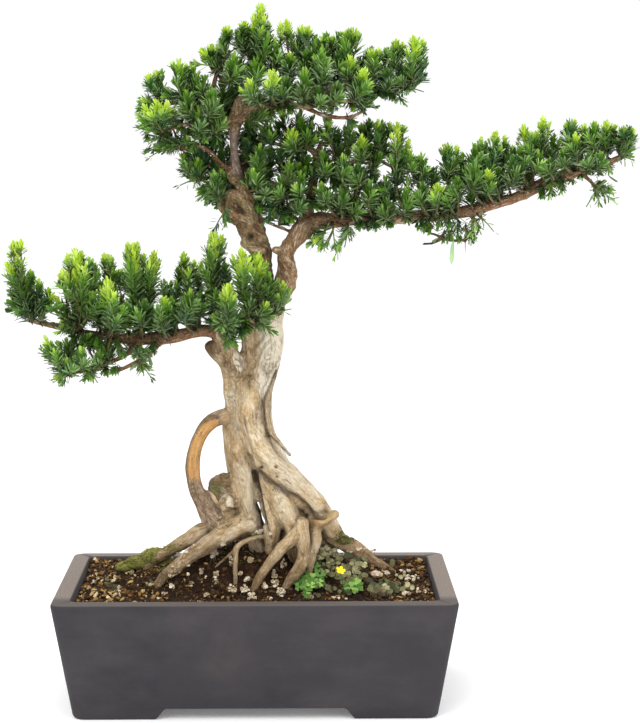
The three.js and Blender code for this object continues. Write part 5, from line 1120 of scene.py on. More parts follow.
def leaf_template(name, stations, bend, sickle, fold):
    """A closed leaf one unit long: narrow at its foot, blunt at its tip and raised along its midrib."""
    points = [(0, 0, 0)]
    midrib_highlights = [0.0]
    for t, width in stations:
        x = sickle * t * (1 - t)
        y = bend * t * t
        half = width / 2
        ring = [(x - half, y, t), (x, y + fold * half, t), (x + half, y, t)]
        points += ring
        midrib_highlights += [0.0, 1.0, 0.0]
    corners = len(ring)
    points.append((0, bend, 1))
    midrib_highlights.append(0.0)
    faces = [(0, 1 + k, 1 + (k + 1) % corners) for k in range(corners)]
    last = len(points) - 1 - corners
    for start in range(1, last, corners):
        for k in range(corners):
            after = (k + 1) % corners
            faces.append((start + k, start + corners + k, start + corners + after, start + after))
    faces += [(last + corners, last + (k + 1) % corners, last + k) for k in range(corners)]
    mesh = bpy.data.meshes.new(name)
    mesh.from_pydata(points, [], faces)
    # The ridge points carry a painted highlight.
    paint(mesh, "rib", midrib_highlights)
    made = bpy.data.objects.new(name, mesh)
    face_outward(made)
    return made


def euler_from(across, up, along):
    """XYZ turns of frames whose columns are across, up and along."""
    return np.stack([np.arctan2(up[:, 2], along[:, 2]),
                     -np.arcsin(np.clip(across[:, 2], -1, 1)),
                     np.arctan2(across[:, 1], across[:, 0])], 1)


def scatter_tree(name, templates, material):
    """Sets templates on points by their turn, size and variant, and makes them one mesh."""
    tree = bpy.data.node_groups.new(name, "GeometryNodeTree")
    face = tree.interface
    face.new_socket("Geometry", in_out="INPUT", socket_type="NodeSocketGeometry")
    share = face.new_socket("Size share", in_out="INPUT", socket_type="NodeSocketFloat")
    share.default_value = 1.0
    face.new_socket("Geometry", in_out="OUTPUT", socket_type="NodeSocketGeometry")
    entry = node(tree, "NodeGroupInput")
    exit_ = node(tree, "NodeGroupOutput")
    join = node(tree, "GeometryNodeJoinGeometry")
    for template in reversed(templates):
        info = node(tree, "GeometryNodeObjectInfo", {"Object": template, "As Instance": True})
        tree.links.new(info.outputs["Geometry"], join.inputs[0])
    stored = (("turn", "FLOAT_VECTOR"), ("size", "FLOAT_VECTOR"), ("variant", "INT"))
    turn, size, pick = [node(tree, "GeometryNodeInputNamedAttribute", {"data_type": kind, "Name": key})
                        for key, kind in stored]
    scaled = node(tree, "ShaderNodeVectorMath", {"operation": "SCALE"},
                  {0: size.outputs[0], "Scale": entry.outputs["Size share"]})
    place = node(tree, "GeometryNodeInstanceOnPoints", {"Pick Instance": True}, {
        "Points": entry.outputs["Geometry"], "Instance": join.outputs[0], "Instance Index": pick.outputs[0],
        "Rotation": turn.outputs[0], "Scale": scaled.outputs[0]})
    real = node(tree, "GeometryNodeRealizeInstances", None, {0: place.outputs[0]})
    painted = node(tree, "GeometryNodeSetMaterial", {"Material": material}, {"Geometry": real.outputs[0]})
    tree.links.new(painted.outputs[0], exit_.inputs[0])
    return tree, share.identifier, material


def scatter(name, tree, places, turns, sizes, variants, smooth=False, **values):
    """One mesh of the tree's templates at places in millimetres, with sizes in millimetres."""
    group, share, material = tree
    mesh = bpy.data.meshes.new(name + "_points")
    mesh.from_pydata((np.asarray(places) + SHIFT) * MM, [], [])
    paint(mesh, "turn", turns)
    paint(mesh, "size", np.asarray(sizes) * MM)
    mesh.attributes.new("variant", "INT", "POINT").data.foreach_set("value", np.asarray(variants, np.int32))
    for key, data in values.items():
        paint(mesh, key, data)
    holder = new_object(name, mesh)
    modifier = holder.modifiers.new("Scatter", "NODES")
    modifier.node_group = group
    modifier[share] = 1.0
    plain = apply_modifiers(holder)
    plain.name = name
    plain.materials.clear()
    plain.materials.append(material)
    for key in ("turn", "size", "variant"):
        layer = plain.attributes.get(key)
        if layer:
            plain.attributes.remove(layer)
    smooth_faces(plain, smooth)
    return holder


def nearest_wood(place):
    best = (1e6, None, 0)
    for strand in STRANDS:
        if np.any(place < strand.low - 60) or np.any(place > strand.high + 60):
            continue
        distance = np.linalg.norm(strand.points - place, axis=1) - strand.radii
        i = int(np.argmin(distance))
        if distance[i] < best[0]:
            best = (distance[i], strand.points[i], strand.radii[i])
    return best


def in_open_air(x, z):
    """Whether a place of the front view lies in one of the gaps that show the sky."""
    return any(((x[0] - a) / w) ** 2 + ((z[0] - b) / h) ** 2 < 1 for a, b, w, h in OPEN_AIR)


def shoots_of(name, draw):
    """Every shoot of a spray: its base and tip in space, leaf length and youth, with fillers between."""
    rows = [list(row) for row in SPRAYS[name]]
    if name not in NO_PARTNERS:
        rows += [[x0 + 4, z0 - 2, x1 + 7, z1 - 5, 8 - depth, radius, youth * 0.7]
                 for x0, z0, x1, z1, depth, radius, youth in SPRAYS[name] if depth <= MIRROR_FROM]
    main = len(rows)
    deep = FILLING.get(name, [])
    for x0, z0, x1, z1, depth, radius, youth in rows[:main]:
        away = -1 if depth > 0 else 1
        shift = draw.uniform(5, 10) * draw.choice([-1, 1])
        rows.append([x0, z0, x1 + shift, z1 - draw.uniform(8, 15), depth - 13, radius * 0.95, youth * 0.6])
        rows.append([x0, z0, x1 - shift, z1 - draw.uniform(5, 12), depth + 14, radius * 0.95, youth * 0.5])
        if name not in OPEN_BELOW and name not in NO_PARTNERS:
            rows.append([x0, z0, x1 + 1.3 * shift, max(z0, z1 - 18) + draw.uniform(2, 8), depth + 5 * away,
                         radius * 0.85, 0])
    rows[main:main] = deep
    main += len(deep)
    result = []
    for number, (x0, z0, x1, z1, depth, radius, youth) in enumerate(rows):
        away = DEPTH_SPREAD * depth
        result.append((seen(x0, z0, away), seen(x1, z1, away * 1.08), LEAF_BY_RADIUS * radius, youth,
                       0 if number < main else 1 + (number - main) % 3))
    return result


def make_sprays():
    shapes = [(FULL_LEAF, 0.5, 0.0, 0.5), (FULL_LEAF, -0.4, 0.25, 0.45), (FULL_LEAF, 0.9, -0.3, 0.6),
              (FULL_LEAF, 0.1, 0.4, 0.35), (SPARE_LEAF, -0.9, 0.0, 0.5), (SPARE_LEAF, 0.4, 0.2, 0.4),
              (SPARE_LEAF, 0.8, -0.2, 0.55), (INNER_LEAF, -0.4, 0.2, 0.4), (INNER_LEAF, 0.5, -0.2, 0.5)]
    templates = [leaf_template(f"leaf_{i}", *shape) for i, shape in enumerate(shapes)]
    tree = scatter_tree("Leaf rosettes", templates, leaf_material())
    twigs = Tubes()
    low, high = [np.array(corner) / MM - SHIFT for corner in cad_box]
    lone = {name: [] for name in SPRAYS}
    for row in LONE_LEAVES:
        away = {name: min(math.hypot(tip_x - row[0], tip_z - row[1]) for _, _, tip_x, tip_z, *_ in shoots)
                for name, shoots in SPRAYS.items()}
        lone[min(away, key=away.get)].append(row)
    for number, name in enumerate(SPRAYS):
        draw = np.random.default_rng(100 + number)
        rows, broad = [], {}
        shoots = shoots_of(name, draw)
        knot = nearest_wood(np.mean([s[0] for s in shoots], axis=0))[1]
        # Painted shade: the height range of the spray, over which leaves lower down get a darker tint.
        shade_heights = [min(s[1][2] for s in shoots) - 8, max(s[1][2] for s in shoots)]
        newer = 0.09 if knot[0] < -40 else 0.0

        def leaf(place, along, axis, size, youth, tint, shade, variant):
            end = place + along * size
            out = max(0, *(low + 1.6 - end), *(end - high + 1.6))
            x, z = front_view(np.array([end]))
            if end[1] < 3 and any(beside(x, z, line, wide)[0] > 0 for line, wide in BARE_WOOD):
                return
            if in_open_air(*front_view(np.array([end - along * 2]))):
                return
            # The tint is darkened for leaves lower in their spray: painted shade.
            rows.append((*place, *along, *(axis - along * np.dot(axis, along)), size - out * 1.5,
                         youth, tint * (0.48 + 0.52 * smooth_step(place[2], *shade_heights)), shade, variant))

        for base, tip, leaf_size, youth, layer in shoots:
            axis = tip - base
            length = max(np.linalg.norm(axis) - 0.62 * leaf_size, 4)
            axis = unit(axis)
            own = nearest_wood(base)
            foot = own[1] if own[0] < 14 else knot
            middle = (foot + base) / 2 - axis * 3 + np.array([0, 0, -2.0])
            ends = (foot, middle, base, base + axis * length)
            path, _, _ = curve_through([[*end, 1] for end in ends], 11)
            green = np.linspace(0, 1, len(path)) ** 2
            sides = 4 if layer == 0 else 3
            twigs.add(path, np.linspace(1.5, 0.7, len(path)), sides, 0)
            twigs.values[-sides * len(path):] = np.repeat(green, sides)
            across = unit(np.cross(axis, [0.3, 1, 0.2]))
            side = np.cross(axis, across)
            back = min(own[0] if own[0] < 14 else 8, 0.45 * leaf_size)
            sparse = name in SPARSE or (layer == 0 and tip[2] < base[2] and tip[0] > 150)
            count = int(28 + length * 1.95) if layer == 0 else int(17 + length * 1.0)
            count = count // 3 if sparse else count
            own_tint = draw.random()
            green_top = draw.uniform(0.2, 0.65) if layer < 3 else 0.1
            kinds = LEAF_KINDS[layer]
            for i in range(count):
                t = i / (count - 1)
                spread = math.radians(66 - 36 * t ** 1.2 - 18 * (t > 0.93) + draw.uniform(-11, 11))
                turn = i * GOLDEN + draw.uniform(-0.35, 0.35)
                outward = across * math.cos(turn) + side * math.sin(turn)
                along = unit(outward * math.sin(spread) + axis * math.cos(spread) + draw.normal(0, 0.09, 3))
                size = leaf_size * (1.0 - 0.3 * t ** 2) * draw.uniform(0.82, 1.08)
                place = base + axis * (length * t - back * (1 - t)) + outward * 0.6
                fresh = float(smooth_step(np.array(t), 0.96 - 0.98 * youth, 1.38 - 0.78 * youth))
                leaf(place, along, axis, size, max(fresh * min(1, youth * 1.5 + 0.1), green_top * t ** 1.1),
                     min(1, 0.35 * own_tint + 0.65 * draw.random() + newer),
                     max(0.0, (0.5 if layer < 3 else 0.8) - t * 1.2) * draw.uniform(0.5, 1.2),
                     draw.integers(*kinds))
            if layer > 1:
                continue
            stem = np.linalg.norm(base - foot)
            for i in range(int(stem / 3)):
                t = draw.uniform(0.15, 1)
                place = foot + (base - foot) * t
                outward = unit(draw.normal(0, 1, 3) + axis * 0.5)
                leaf(place, outward, axis, leaf_size * draw.uniform(0.6, 0.85), 0, draw.random(),
                     draw.uniform(0.6, 1.0), draw.integers(*LEAF_KINDS[3]))
        for x0, z0, x1, z1, depth, width, tint in lone[name]:
            foot, end = seen(x0, z0, depth), seen(x1, z1, depth - 4)
            axis = unit(end - foot)
            rows.append((*foot, *axis, *np.cross(axis, [0.8, 0.3, 0.4]), np.linalg.norm(end - foot),
                         0.1, tint, 0, 2))
            broad[len(rows) - 1] = width
        data = np.array(rows)
        places, alongs, ups, sizes = data[:, :3], data[:, 3:6], unit(data[:, 6:9] + 1e-5), data[:, 9]
        widths = sizes ** 0.5 * draw.uniform(0.74, 0.94, len(sizes))
        for row, width in broad.items():
            widths[row] = width
        piece = scatter("leaves_" + name, tree, places, euler_from(np.cross(ups, alongs), ups, alongs),
                        np.stack([widths, widths, sizes], 1), data[:, 13].astype(int),
                        youth=data[:, 10], tint=data[:, 11], shade=data[:, 12])
        youth = np.mean([row[6] for row in SPRAYS[name]])
        kind = "leaf_dark" if youth < 0.22 else "leaf_green" if youth < 0.45 else "leaf_fresh"
        finish_piece(piece, kind, None, "spray_" + name)
    piece = mesh_object("twigs", np.array(twigs.points), twigs.faces, {"green": twigs.values})
    face_outward(piece)
    finish_piece(piece, "bark", twig_material())
    for template in templates:
        bpy.data.objects.remove(template)


# Pot

def clay_material():
    look = Look("unglazed grey clay", 0.72, 0.3)
    cloud = look.noise(70, 5, 0.6)
    speck = look.noise(1.6, 3, 0.7)
    streak = look.noise(34, 5, 0.6, look.stretched(0.35, 1, 1))
    colour = look.ramp(cloud, (0.3, "#28272B"), (0.42, "#2E2C30"), (0.58, "#322F32"), (0.7, "#393436"))
    colour = look.mix(look.ramp(streak, (0.45, 0.0), (0.75, 0.35)), colour, "#4C4648")
    colour = look.mix(look.ramp(speck, (0.55, 0.0), (0.75, 0.5)), colour, "#2C292B")
    # Painted highlight: the rim's top face is painted lighter, and darker towards its front edge.
    rim_highlight = look.ramp(speck, (0.3, "#6A5F57"), (0.7, "#8C8177"))
    depth = node(look.tree, "ShaderNodeSeparateXYZ", None, {0: look.place}).outputs[1]
    front = look.ramp(look.math("MULTIPLY_ADD", depth, -10.0, 0.0, True), (0.85, 0.0), (1.0, 0.75))
    colour = look.mix(look.attribute("rim"), colour, look.mix(front, rim_highlight, "#45403F"))
    colour = look.mix(look.attribute("inside"), colour, "#3F3A3A")
    look.bump(speck, 0.25, 0.5)
    look.bump(look.noise(14, 3, 0.5), 0.5, 0.4)
    return look.done(colour)


def outer_at(z):
    share = z / POT_HEIGHT
    return [POT_FOOT[k] + (POT_TOP[k] - POT_FOOT[k]) * share for k in range(2)]


def rounded_ring(width, depth, corner, z, steps=7):
    ring = []
    for quarter, (sx, sy) in enumerate(((1, 1), (-1, 1), (-1, -1), (1, -1))):
        for k in range(steps + 1):
            turn = (quarter + k / steps) * math.pi / 2
            ring.append((sx * (width / 2 - corner) + corner * math.cos(turn),
                         sy * (depth / 2 - corner) + corner * math.sin(turn), z))
    return ring


def prism(name, outline, axis, reach):
    """A straight cutter: an outline of (across, z) pushed along X or Y."""
    points = []
    for end in (-reach, reach):
        points += [(end, a, z) if axis == 0 else (a, end, z) for a, z in outline]
    count = len(outline)
    faces = [tuple(range(count)), tuple(reversed(range(count, 2 * count)))]
    faces += [(k, k + count, (k + 1) % count + count, (k + 1) % count) for k in range(count)]
    made = mesh_object(name, points, faces, smooth=False)
    face_outward(made)
    return made


# Rings of the pot from foot to floor: their height and how far they stand out from the straight wall.
OUTER_RINGS = ((0, -2.6), (0.5, -1.5), (1.6, -0.6), (4, 0), (30, 0), (62, 0), (94, 0), (121, 0),
               (122.6, -0.15), (123.9, -0.75), (124.7, -1.6), (125, -2.8))
INNER_RINGS = ((125, 2.8), (124.7, 1.5), (123.9, 0.6), (122.5, 0))


def make_pot():
    box_width, box_depth = [(pot_high[k] - pot_low[k]) / MM for k in range(2)]
    rings = []
    for z, out in OUTER_RINGS:
        w, d = outer_at(z)
        rings.append(rounded_ring(min(w + 2 * out, box_width), min(d + 2 * out, box_depth), POT_CORNER, z))
    w, d = [width - 2 * RIM_WALL for width in outer_at(POT_HEIGHT)]
    for z, out in INNER_RINGS:
        rings.append(rounded_ring(w + 2 * out, d + 2 * out, INNER_CORNER + out, z))
    w, d = [width - 2 * WALL_AT_FLOOR for width in outer_at(FLOOR_Z)]
    rings.append(rounded_ring(w, d, INNER_CORNER, FLOOR_Z))
    points = [p for ring in rings for p in ring]
    count = len(rings[0])
    last = (len(rings) - 1) * count
    faces = [(r + k, r + (k + 1) % count, r + count + (k + 1) % count, r + count + k)
             for r in range(0, last, count) for k in range(count)]
    faces.append(tuple(reversed(range(count))))
    faces.append(tuple(range(last, last + count)))
    piece = mesh_object("pot_body", points, faces)
    face_outward(piece)
    cutters = []
    for (low, high), axis in ((FOOT_GAP_LONG, 1), (FOOT_GAP_SHORT, 0)):
        slope = (low - high) / FOOT_HEIGHT
        outline = [(-low - slope * 5, -5), (low + slope * 5, -5), (low, 0), (high + 3, FOOT_HEIGHT - 1.6),
                   (high, FOOT_HEIGHT), (-high, FOOT_HEIGHT), (-high - 3, FOOT_HEIGHT - 1.6), (-low, 0)]
        cutters.append(prism("gap_cutter", outline, axis, 260))
    around = 32
    for x in (-DRAIN_X, DRAIN_X):
        turns = [2 * math.pi * k / around for k in range(around)]
        outline = [(math.cos(t) * DRAIN_RADIUS + x, math.sin(t) * DRAIN_RADIUS) for t in turns]
        drain = [(a, b, z) for z in (2, 40) for a, b in outline]
        sides = [(k, (k + 1) % around, (k + 1) % around + around, k + around) for k in range(around)]
        ends = [tuple(reversed(range(around))), tuple(range(around, 2 * around))]
        cutters.append(mesh_object("drain_cutter", drain, [*ends, *sides]))
        face_outward(cutters[-1])
    for cutter in cutters:
        modifier = piece.modifiers.new("Cut", "BOOLEAN")
        modifier.operation = "DIFFERENCE"
        modifier.solver = "EXACT"
        modifier.object = cutter
    bevel = piece.modifiers.new("Soft edges", "BEVEL")
    bevel.width = 1.2 * MM
    bevel.segments = 2
    bevel.limit_method = "ANGLE"
    bevel.angle_limit = math.radians(38)
    plain = apply_modifiers(piece)
    for cutter in cutters:
        bpy.data.objects.remove(cutter)
    face_outward(piece)
    places = np.empty(len(plain.vertices) * 3, np.float32)
    plain.vertices.foreach_get("co", places)
    places = places.reshape(-1, 3) / MM - SHIFT
    w, d = outer_at(100)
    within = (np.abs(places[:, 0]) < w / 2 - 15) & (np.abs(places[:, 1]) < d / 2 - 15)
    paint(plain, "rim", places[:, 2] > 124.2)
    paint(plain, "inside", within & (places[:, 2] > FLOOR_Z - 1))
    plain.shade_smooth()
    plain.set_sharp_from_angle(angle=math.radians(34))
    return finish_piece(piece, "pot_clay", clay_material(), "pot")


# Soil

# The soil rises by this much along the pot's back wall, as the photograph shows it.
BACK_RISE = 4.5


def ground(x, y):
    """The height of the soil, in millimetres."""
    dx = (x - MOUND_CENTRE[0]) / MOUND_REACH[0]
    dy = (y - MOUND_CENTRE[1]) / np.where(y < MOUND_CENTRE[1], MOUND_REACH[1], MOUND_REACH[2])
    bumps = BACK_RISE * smooth_step(y, 45, 95) + 1.1 * np.sin(x / 9.3 + y / 21) * np.cos(y / 11.7 - x / 31)
    bumps = bumps + 0.7 * np.sin(x / 4.1 - y / 6.3)
    return SOIL_LEVEL + MOUND_HEIGHT * np.exp(-dx * dx - dy * dy) + bumps


def soil_material():
    look = Look("granular bonsai soil", 0.9, 0.2)
    lump = look.noise(6, 6, 0.7)
    colour = look.ramp(lump, (0.25, "#110A04"), (0.5, "#241508"), (0.75, "#4A2F14"))
    crumbs = look.cells(3.4, "Color")
    colour = look.mix(look.ramp(crumbs, (0.72, 0.0), (0.9, 0.5)), colour, "#80603A")
    look.bump(lump, 2.0, 1.0)
    look.bump(look.cells(2.6), 1.0, 0.8)
    return look.done(colour)


def chip_material():
    look = Look("soil chips", 0.85, 0.25)
    tint = look.attribute("tint")
    colour = look.ramp(tint, (0.0, "#1A1006"), (0.3, "#38240D"), (0.55, "#644218"), (0.75, "#97713A"),
                       (0.92, "#C8AA70"), (1.0, "#E8D9B2"))
    fine = look.noise(1.4, 3, 0.7)
    colour = look.mix(look.ramp(fine, (0.35, 0.5), (0.6, 0.0)), colour, "#2A1D12", "MULTIPLY")
    look.bump(fine, 0.5, 0.7)
    return look.done(colour)


def half_inside(z, foot, top):
    """Half the clear width inside the pot at a height, from its outer widths at the floor and at the rim."""
    low = foot / 2 - WALL_AT_FLOOR
    high = top / 2 - RIM_WALL
    return low + (high - low) * (z - FLOOR_Z) / (INNER_RINGS[-1][0] - FLOOR_Z) - 0.6


def make_soil():
    w0, d0 = outer_at(FLOOR_Z)
    w1, d1 = outer_at(POT_HEIGHT)
    columns, lines = 170, 94
    us, vs = np.meshgrid(np.linspace(-1, 1, columns), np.linspace(-1, 1, lines), indexing="ij")
    reach_x, reach_y = half_inside(SOIL_LEVEL, w0, w1), half_inside(SOIL_LEVEL, d0, d1)
    x, y = us * reach_x, vs * reach_y
    flat = np.stack([x.ravel(), y.ravel(), np.zeros(x.size)], 1)
    rough = noise(flat / 7, 3) * 1.5 + noise(flat / 3.1, 4) * 0.9
    settle = 1 - np.clip(np.maximum(np.abs(us), np.abs(vs)) * 12 - 11, 0, 1).ravel()
    top = np.stack([x.ravel(), y.ravel(), ground(x, y).ravel() - 1.2 + rough * (0.3 + 0.7 * settle)], 1)
    bx, by = half_inside(FLOOR_Z, w0, w1), half_inside(FLOOR_Z, d0, d1)
    under = np.stack([us.ravel() * bx, vs.ravel() * by, np.full(x.size, FLOOR_Z + 2.2)], 1)
    index = np.arange(columns * lines).reshape(columns, lines)
    faces = [(int(a), int(b), int(c), int(d)) for a, b, c, d in zip(
        index[:-1, :-1].ravel(), index[1:, :-1].ravel(), index[1:, 1:].ravel(), index[:-1, 1:].ravel())]
    rim = [*index[:, 0], *index[-1, 1:], *index[-2::-1, -1], *index[0, -2:0:-1]]
    low = [int(i) + columns * lines for i in rim]
    faces += [(low[k], low[(k + 1) % len(rim)], int(rim[(k + 1) % len(rim)]), int(rim[k]))
              for k in range(len(rim))]
    faces.append(tuple(reversed(low)))
    used = sorted({i for f in faces for i in f})
    new = {old: k for k, old in enumerate(used)}
    points = np.concatenate([top, under])[used]
    piece = mesh_object("soil_bed", points, [tuple(new[i] for i in f) for f in faces])
    face_outward(piece)
    return finish_piece(piece, "soil", soil_material(), "soil")


def chip_template(name, seed):
    work = bmesh.new()
    bmesh.ops.create_icosphere(work, subdivisions=1, radius=0.5)
    draw = np.random.default_rng(seed)
    for vertex in work.verts:
        vertex.co = Vector(np.array(vertex.co) * draw.uniform(0.72, 1.15, 3) * (1.0, 0.62, 0.42))
    return bpy.data.objects.new(name, mesh_of(name, work))


CHIP_COUNT = 4200


def make_chips():
    draw = np.random.default_rng(5)
    templates = [chip_template(f"chip_{i}", i) for i in range(4)]
    tree = scatter_tree("Soil chips", templates, chip_material())
    count = CHIP_COUNT
    x = draw.uniform(-187, 187, count)
    y = draw.uniform(-102, 102, count)
    ends = smooth_step(np.abs(x + 6 + 10 * noise(np.stack([x, y, y * 0], 1) / 30, 8)), 85, 135)
    size = (draw.gamma(3.0, 1.35, count) * (0.75 + 0.5 * ends)).clip(1.8, 11)
    z = ground(x, y) - 0.5 + size * 0.1
    tint = draw.random(count) ** (2.2 - 1.2 * ends) * 0.88 + 0.12 * (x < -55)
    shape = draw.uniform(0.6, 1.1, (count, 3)) * size[:, None]
    turns = np.stack([*draw.normal(0.1, 0.45, (2, count)), draw.uniform(0, 6.28, count)], 1)
    piece = scatter("soil_chips", tree, np.stack([x, y, z], 1), turns, shape,
                    draw.integers(0, 4, count), tint=tint)
    finish_piece(piece, "soil", None)
    for template in templates:
        bpy.data.objects.remove(template)


# Plants on the soil: sorrel, a creeper of small round leaves that is drying out, moss and one yellow flower.

def disc_template(name, outline, cup, thick=0.07):
    """A thin closed leaf across X and Y: its rim, a centre above and a centre below."""
    points = [(x, y, cup * (x * x + y * y)) for x, y in outline]
    count = len(points)
    points += [(0, 0, 0.02), (0, 0, -thick)]
    faces = [(k, (k + 1) % count, count) for k in range(count)]
    faces += [((k + 1) % count, k, count + 1) for k in range(count)]
    mesh = bpy.data.meshes.new(name)
    mesh.from_pydata(points, [], faces)
    return bpy.data.objects.new(name, mesh)


def joined_template(name, parts):
    """One template from several outlines, each set at its own turn about Z."""
    work = bmesh.new()
    for outline, cup, turn, out in parts:
        part = disc_template("part", outline, cup)
        part.data.transform(Matrix.Rotation(turn, 4, "Z") @ Matrix.Translation((out, 0, 0)))
        work.from_mesh(part.data)
        bpy.data.objects.remove(part)
    return bpy.data.objects.new(name, mesh_of(name, work))


def spot_on_ground(x, z, lift):
    """The place on the soil, raised by lift, that shows at x and z in the front view."""
    for y in np.arange(-100.0, 100.0, 2.0):
        place = seen(x, z, y)
        if place[2] <= ground(place[0], y) + lift:
            break
    place[2] = float(ground(place[0], place[1])) + lift
    return place


def spot_on_cushion(x, z):
    """The place on the front of a moss cushion that shows at x and z in the front view, if there is one."""
    for y in np.arange(20.0, 70.0, 1.0):
        place = seen(x, z, y)
        for middle, reach in zip(CUSHION_MIDDLES, CUSHION_SIZES):
            if np.sum(((place - middle) / reach) ** 2) < 1:
                return place
    return None


def spot_on_wood(x, z):
    """The place on the front of the wood that shows at x and z in the front view, if there is one."""
    for y in np.arange(-60.0, 60.0, 1.0):
        place = seen(x, z, y)
        if nearest_wood(place)[0] < 0.3:
            return place
    return None


# Outlines of small leaves, about one unit long.
HEART = [(-0.42, 0.0), (-0.1, -0.22), (0.3, -0.46), (0.62, -0.38), (0.52, 0.0), (0.62, 0.38), (0.3, 0.46),
         (-0.1, 0.22)]
ROUND = [(0.5 * math.cos(k * math.pi / 4), 0.5 * math.sin(k * math.pi / 4)) for k in range(8)]
NOTCHED = [(-0.2, 0.0), (-0.45, -0.25), (-0.1, -0.5), (0.35, -0.4), (0.55, 0.0), (0.35, 0.4), (-0.1, 0.5),
           (-0.45, 0.25)]
OVATE = [(-0.5, 0.0), (-0.2, -0.26), (0.15, -0.3), (0.5, 0.0), (0.15, 0.3), (-0.2, 0.26)]
BLADE = [(-0.5, -0.06), (0.5, 0.0), (-0.5, 0.06)]
PETAL = [(-0.1, 0.0), (0.2, -0.26), (0.55, -0.3), (0.72, 0.0), (0.55, 0.3), (0.2, 0.26)]

# Patches of small plants: x, z, half width, half height, leaves, leaf size, lift and tone in the front view.
# A lift of -1 stands for leaves on the wood, and -2 for leaves on a cushion.
SORREL_PATCHES = rows_of("""
61 136 3.4 2.8 5 8 11 .3, 53 127 6.8 5.7 13 9 9 .4, 47 118 5.7 3.4 8 8 7 .3, 61 119 6.8 4.6 11 9 8 .65
69 123 4.6 4.6 6 8 8 .5, 106 114 4 2.3 5 10 8 .75, 101 112 3.4 2.3 4 8 6 .5, 52 113 3.4 2.3 5 7 5 .6
55 105 4.6 2.3 3 6 4 .4, 43 127 3.4 3.4 3 7 8 .2
""")
ROUND_PATCHES = rows_of("""
128 113 7 4 12 7.5 14 .3, 140 112 5 4 8 7 13 .45, 108 144 .7 .7 1 12.5 12 .05, 89 145 1.1 .9 1 12 12 .12
97 148 2.3 1.1 2 10 12 .3, 117 145 2.3 1.7 2 9 12 .45, 148 135 1.7 1.1 1 13 9 .15, 145 140 2.3 1.1 2 7 9 .3
101 131 9.1 8 30 6.5 9 .5, 109 137 8 4.6 14 7 10 .65, 94 121 6.8 5.7 14 6.5 7 .3, 115 124 3.4 3.4 5 7 8 .4
122 119 1.1 1.1 2 9 7 .5, 137 118 4.6 3.4 7 6 6 .25, 144 116 4.6 2.3 4 6 5 .45, 152 111 4.6 3.4 6 6.5 4 .65
163 115 3.4 1.7 4 8 6 .9, 168 113 1.7 1.7 2 8 5 .85, 155 127 4.6 2.3 6 5 5 .75, 76 153 4.6 4.6 9 7 10 .7
68 148 4.6 3.4 9 7.5 10 .75, 79 154 5.7 3.4 9 6 12 .8, 82 144 5.7 4.6 10 6.5 10 .4
70 135 6.8 5.7 14 6 8 .45, 84 133 5.7 5.7 12 6.5 9 .4, 95 109 5.7 3.4 7 6 4 .25, 79 111 5.7 4.6 8 6 5 .25
60 104 5.7 2.3 5 6 3 .5, 88 159 4.6 2.3 5 6 12 .6, -115 122 11.4 5.7 2 6 4 .3, -131 134 6.8 5.7 3 5 5 .4
-157 116 3 3 4 9 5 .05, -160 125 11.4 6.8 3 5 4 .4, 141 112 9 3 9 6.5 9 .2, 150 116 5 3 5 7 8 .35
""")
DRY_PATCHES = rows_of("""
-36 164 1.7 1.7 3 7.5 -1 .95, -35 156 1.1 1.1 2 6 -1 .6, -46 152 2.3 2.3 4 8 9 .85, -47 147 1.7 1.1 2 6 8 .9
-62 142 1.1 1.1 1 6 -1 .95, -73 129 1.1 1.1 1 8 10 .85, -73 137 2.3 2.3 4 6 -1 .5, -90 126 3.4 3.4 6 6 -1 .7
-91 115 1.7 1.7 2 8 6 .9, -85 132 3.4 3.4 6 5.5 -1 .5, -90 137 1.7 1.7 2 5 -1 .55, -77 154 1.7 1.1 2 6 -1 .9
-83 152 3.4 1.7 5 4.5 -1 .85, -90 149 2.3 1.1 2 4.5 -1 .55, -69 160 1.7 1.1 2 6 -1 .7
-55 125 .6 .6 1 4 4 .95, -43 127 2.3 2.3 4 5.5 5 .5, -60 132 2.3 2.3 3 5 5 .5, -46 120 3.4 3.4 4 5 4 .4
-28 142 1.7 3.4 4 6 7 .6, -17 128 1.7 1.7 2 7 6 .75, -11 123 2.3 1.7 3 6 5 .9, -7 145 .6 .6 1 10 6 .45
-27 112 3.4 3.4 7 5 4 .8, -13 112 3.4 3.4 9 5 4 .85, -6 106 2.3 1.1 3 5.5 3 .8, -5 102 3.4 .9 6 4.5 2 .7
8 115 1.7 1.7 2 6 4 .9, 20 120 2.8 4.6 8 5.5 5 .75, 26 109 3.4 4 10 5.2 4 .8, 14 102 2.3 .9 2 4 2 .9
18 129 1.7 2.3 3 5 6 .7, 29 139 2.3 3.4 5 5 8 .75, 37 148 2.3 3.4 4 5 8 .7, 40 154 1.1 1.1 2 4.5 10 .9
3 175 3.4 1.7 5 8 -1 .97, 14 173 1.1 1.1 2 6 -1 .9, -4 158 1.7 1.1 2 6 6 .75, -8 162 2.3 2.3 4 5 7 .55
-40 193 3.4 1.7 5 5 -1 .6, -43 186 1.7 1.7 3 5 -1 .8, -100 107 2.3 1.7 3 6 3 .6, -71 117 2.3 2.3 3 4.5 3 .6
-54 106 2.3 1.7 2 5 3 .6, -106 102 1.1 .6 1 7 2 .7, 114 157 4.6 1.7 5 5.5 -1 .8, 100 154 2.3 1.1 3 6 -1 .75
124 154 3.4 1.1 3 5 14 .7, 160 131 4.6 2.3 5 5 3 .8, 168 124 5.7 3.4 6 5.5 3 .75, 177 110 6.8 3.4 5 6 2 .7
160 106 5.7 2.3 4 5.5 2 .7, 133 126 3.4 2.3 3 6 3 .85, 141 130 2.3 2.3 3 6 4 .8, -175 117 9.1 6.8 5 5 2 .6
-148 112 9.1 4.6 5 5 2 .65, 88 102 9.1 1.1 3 4 1.5 .9
""")
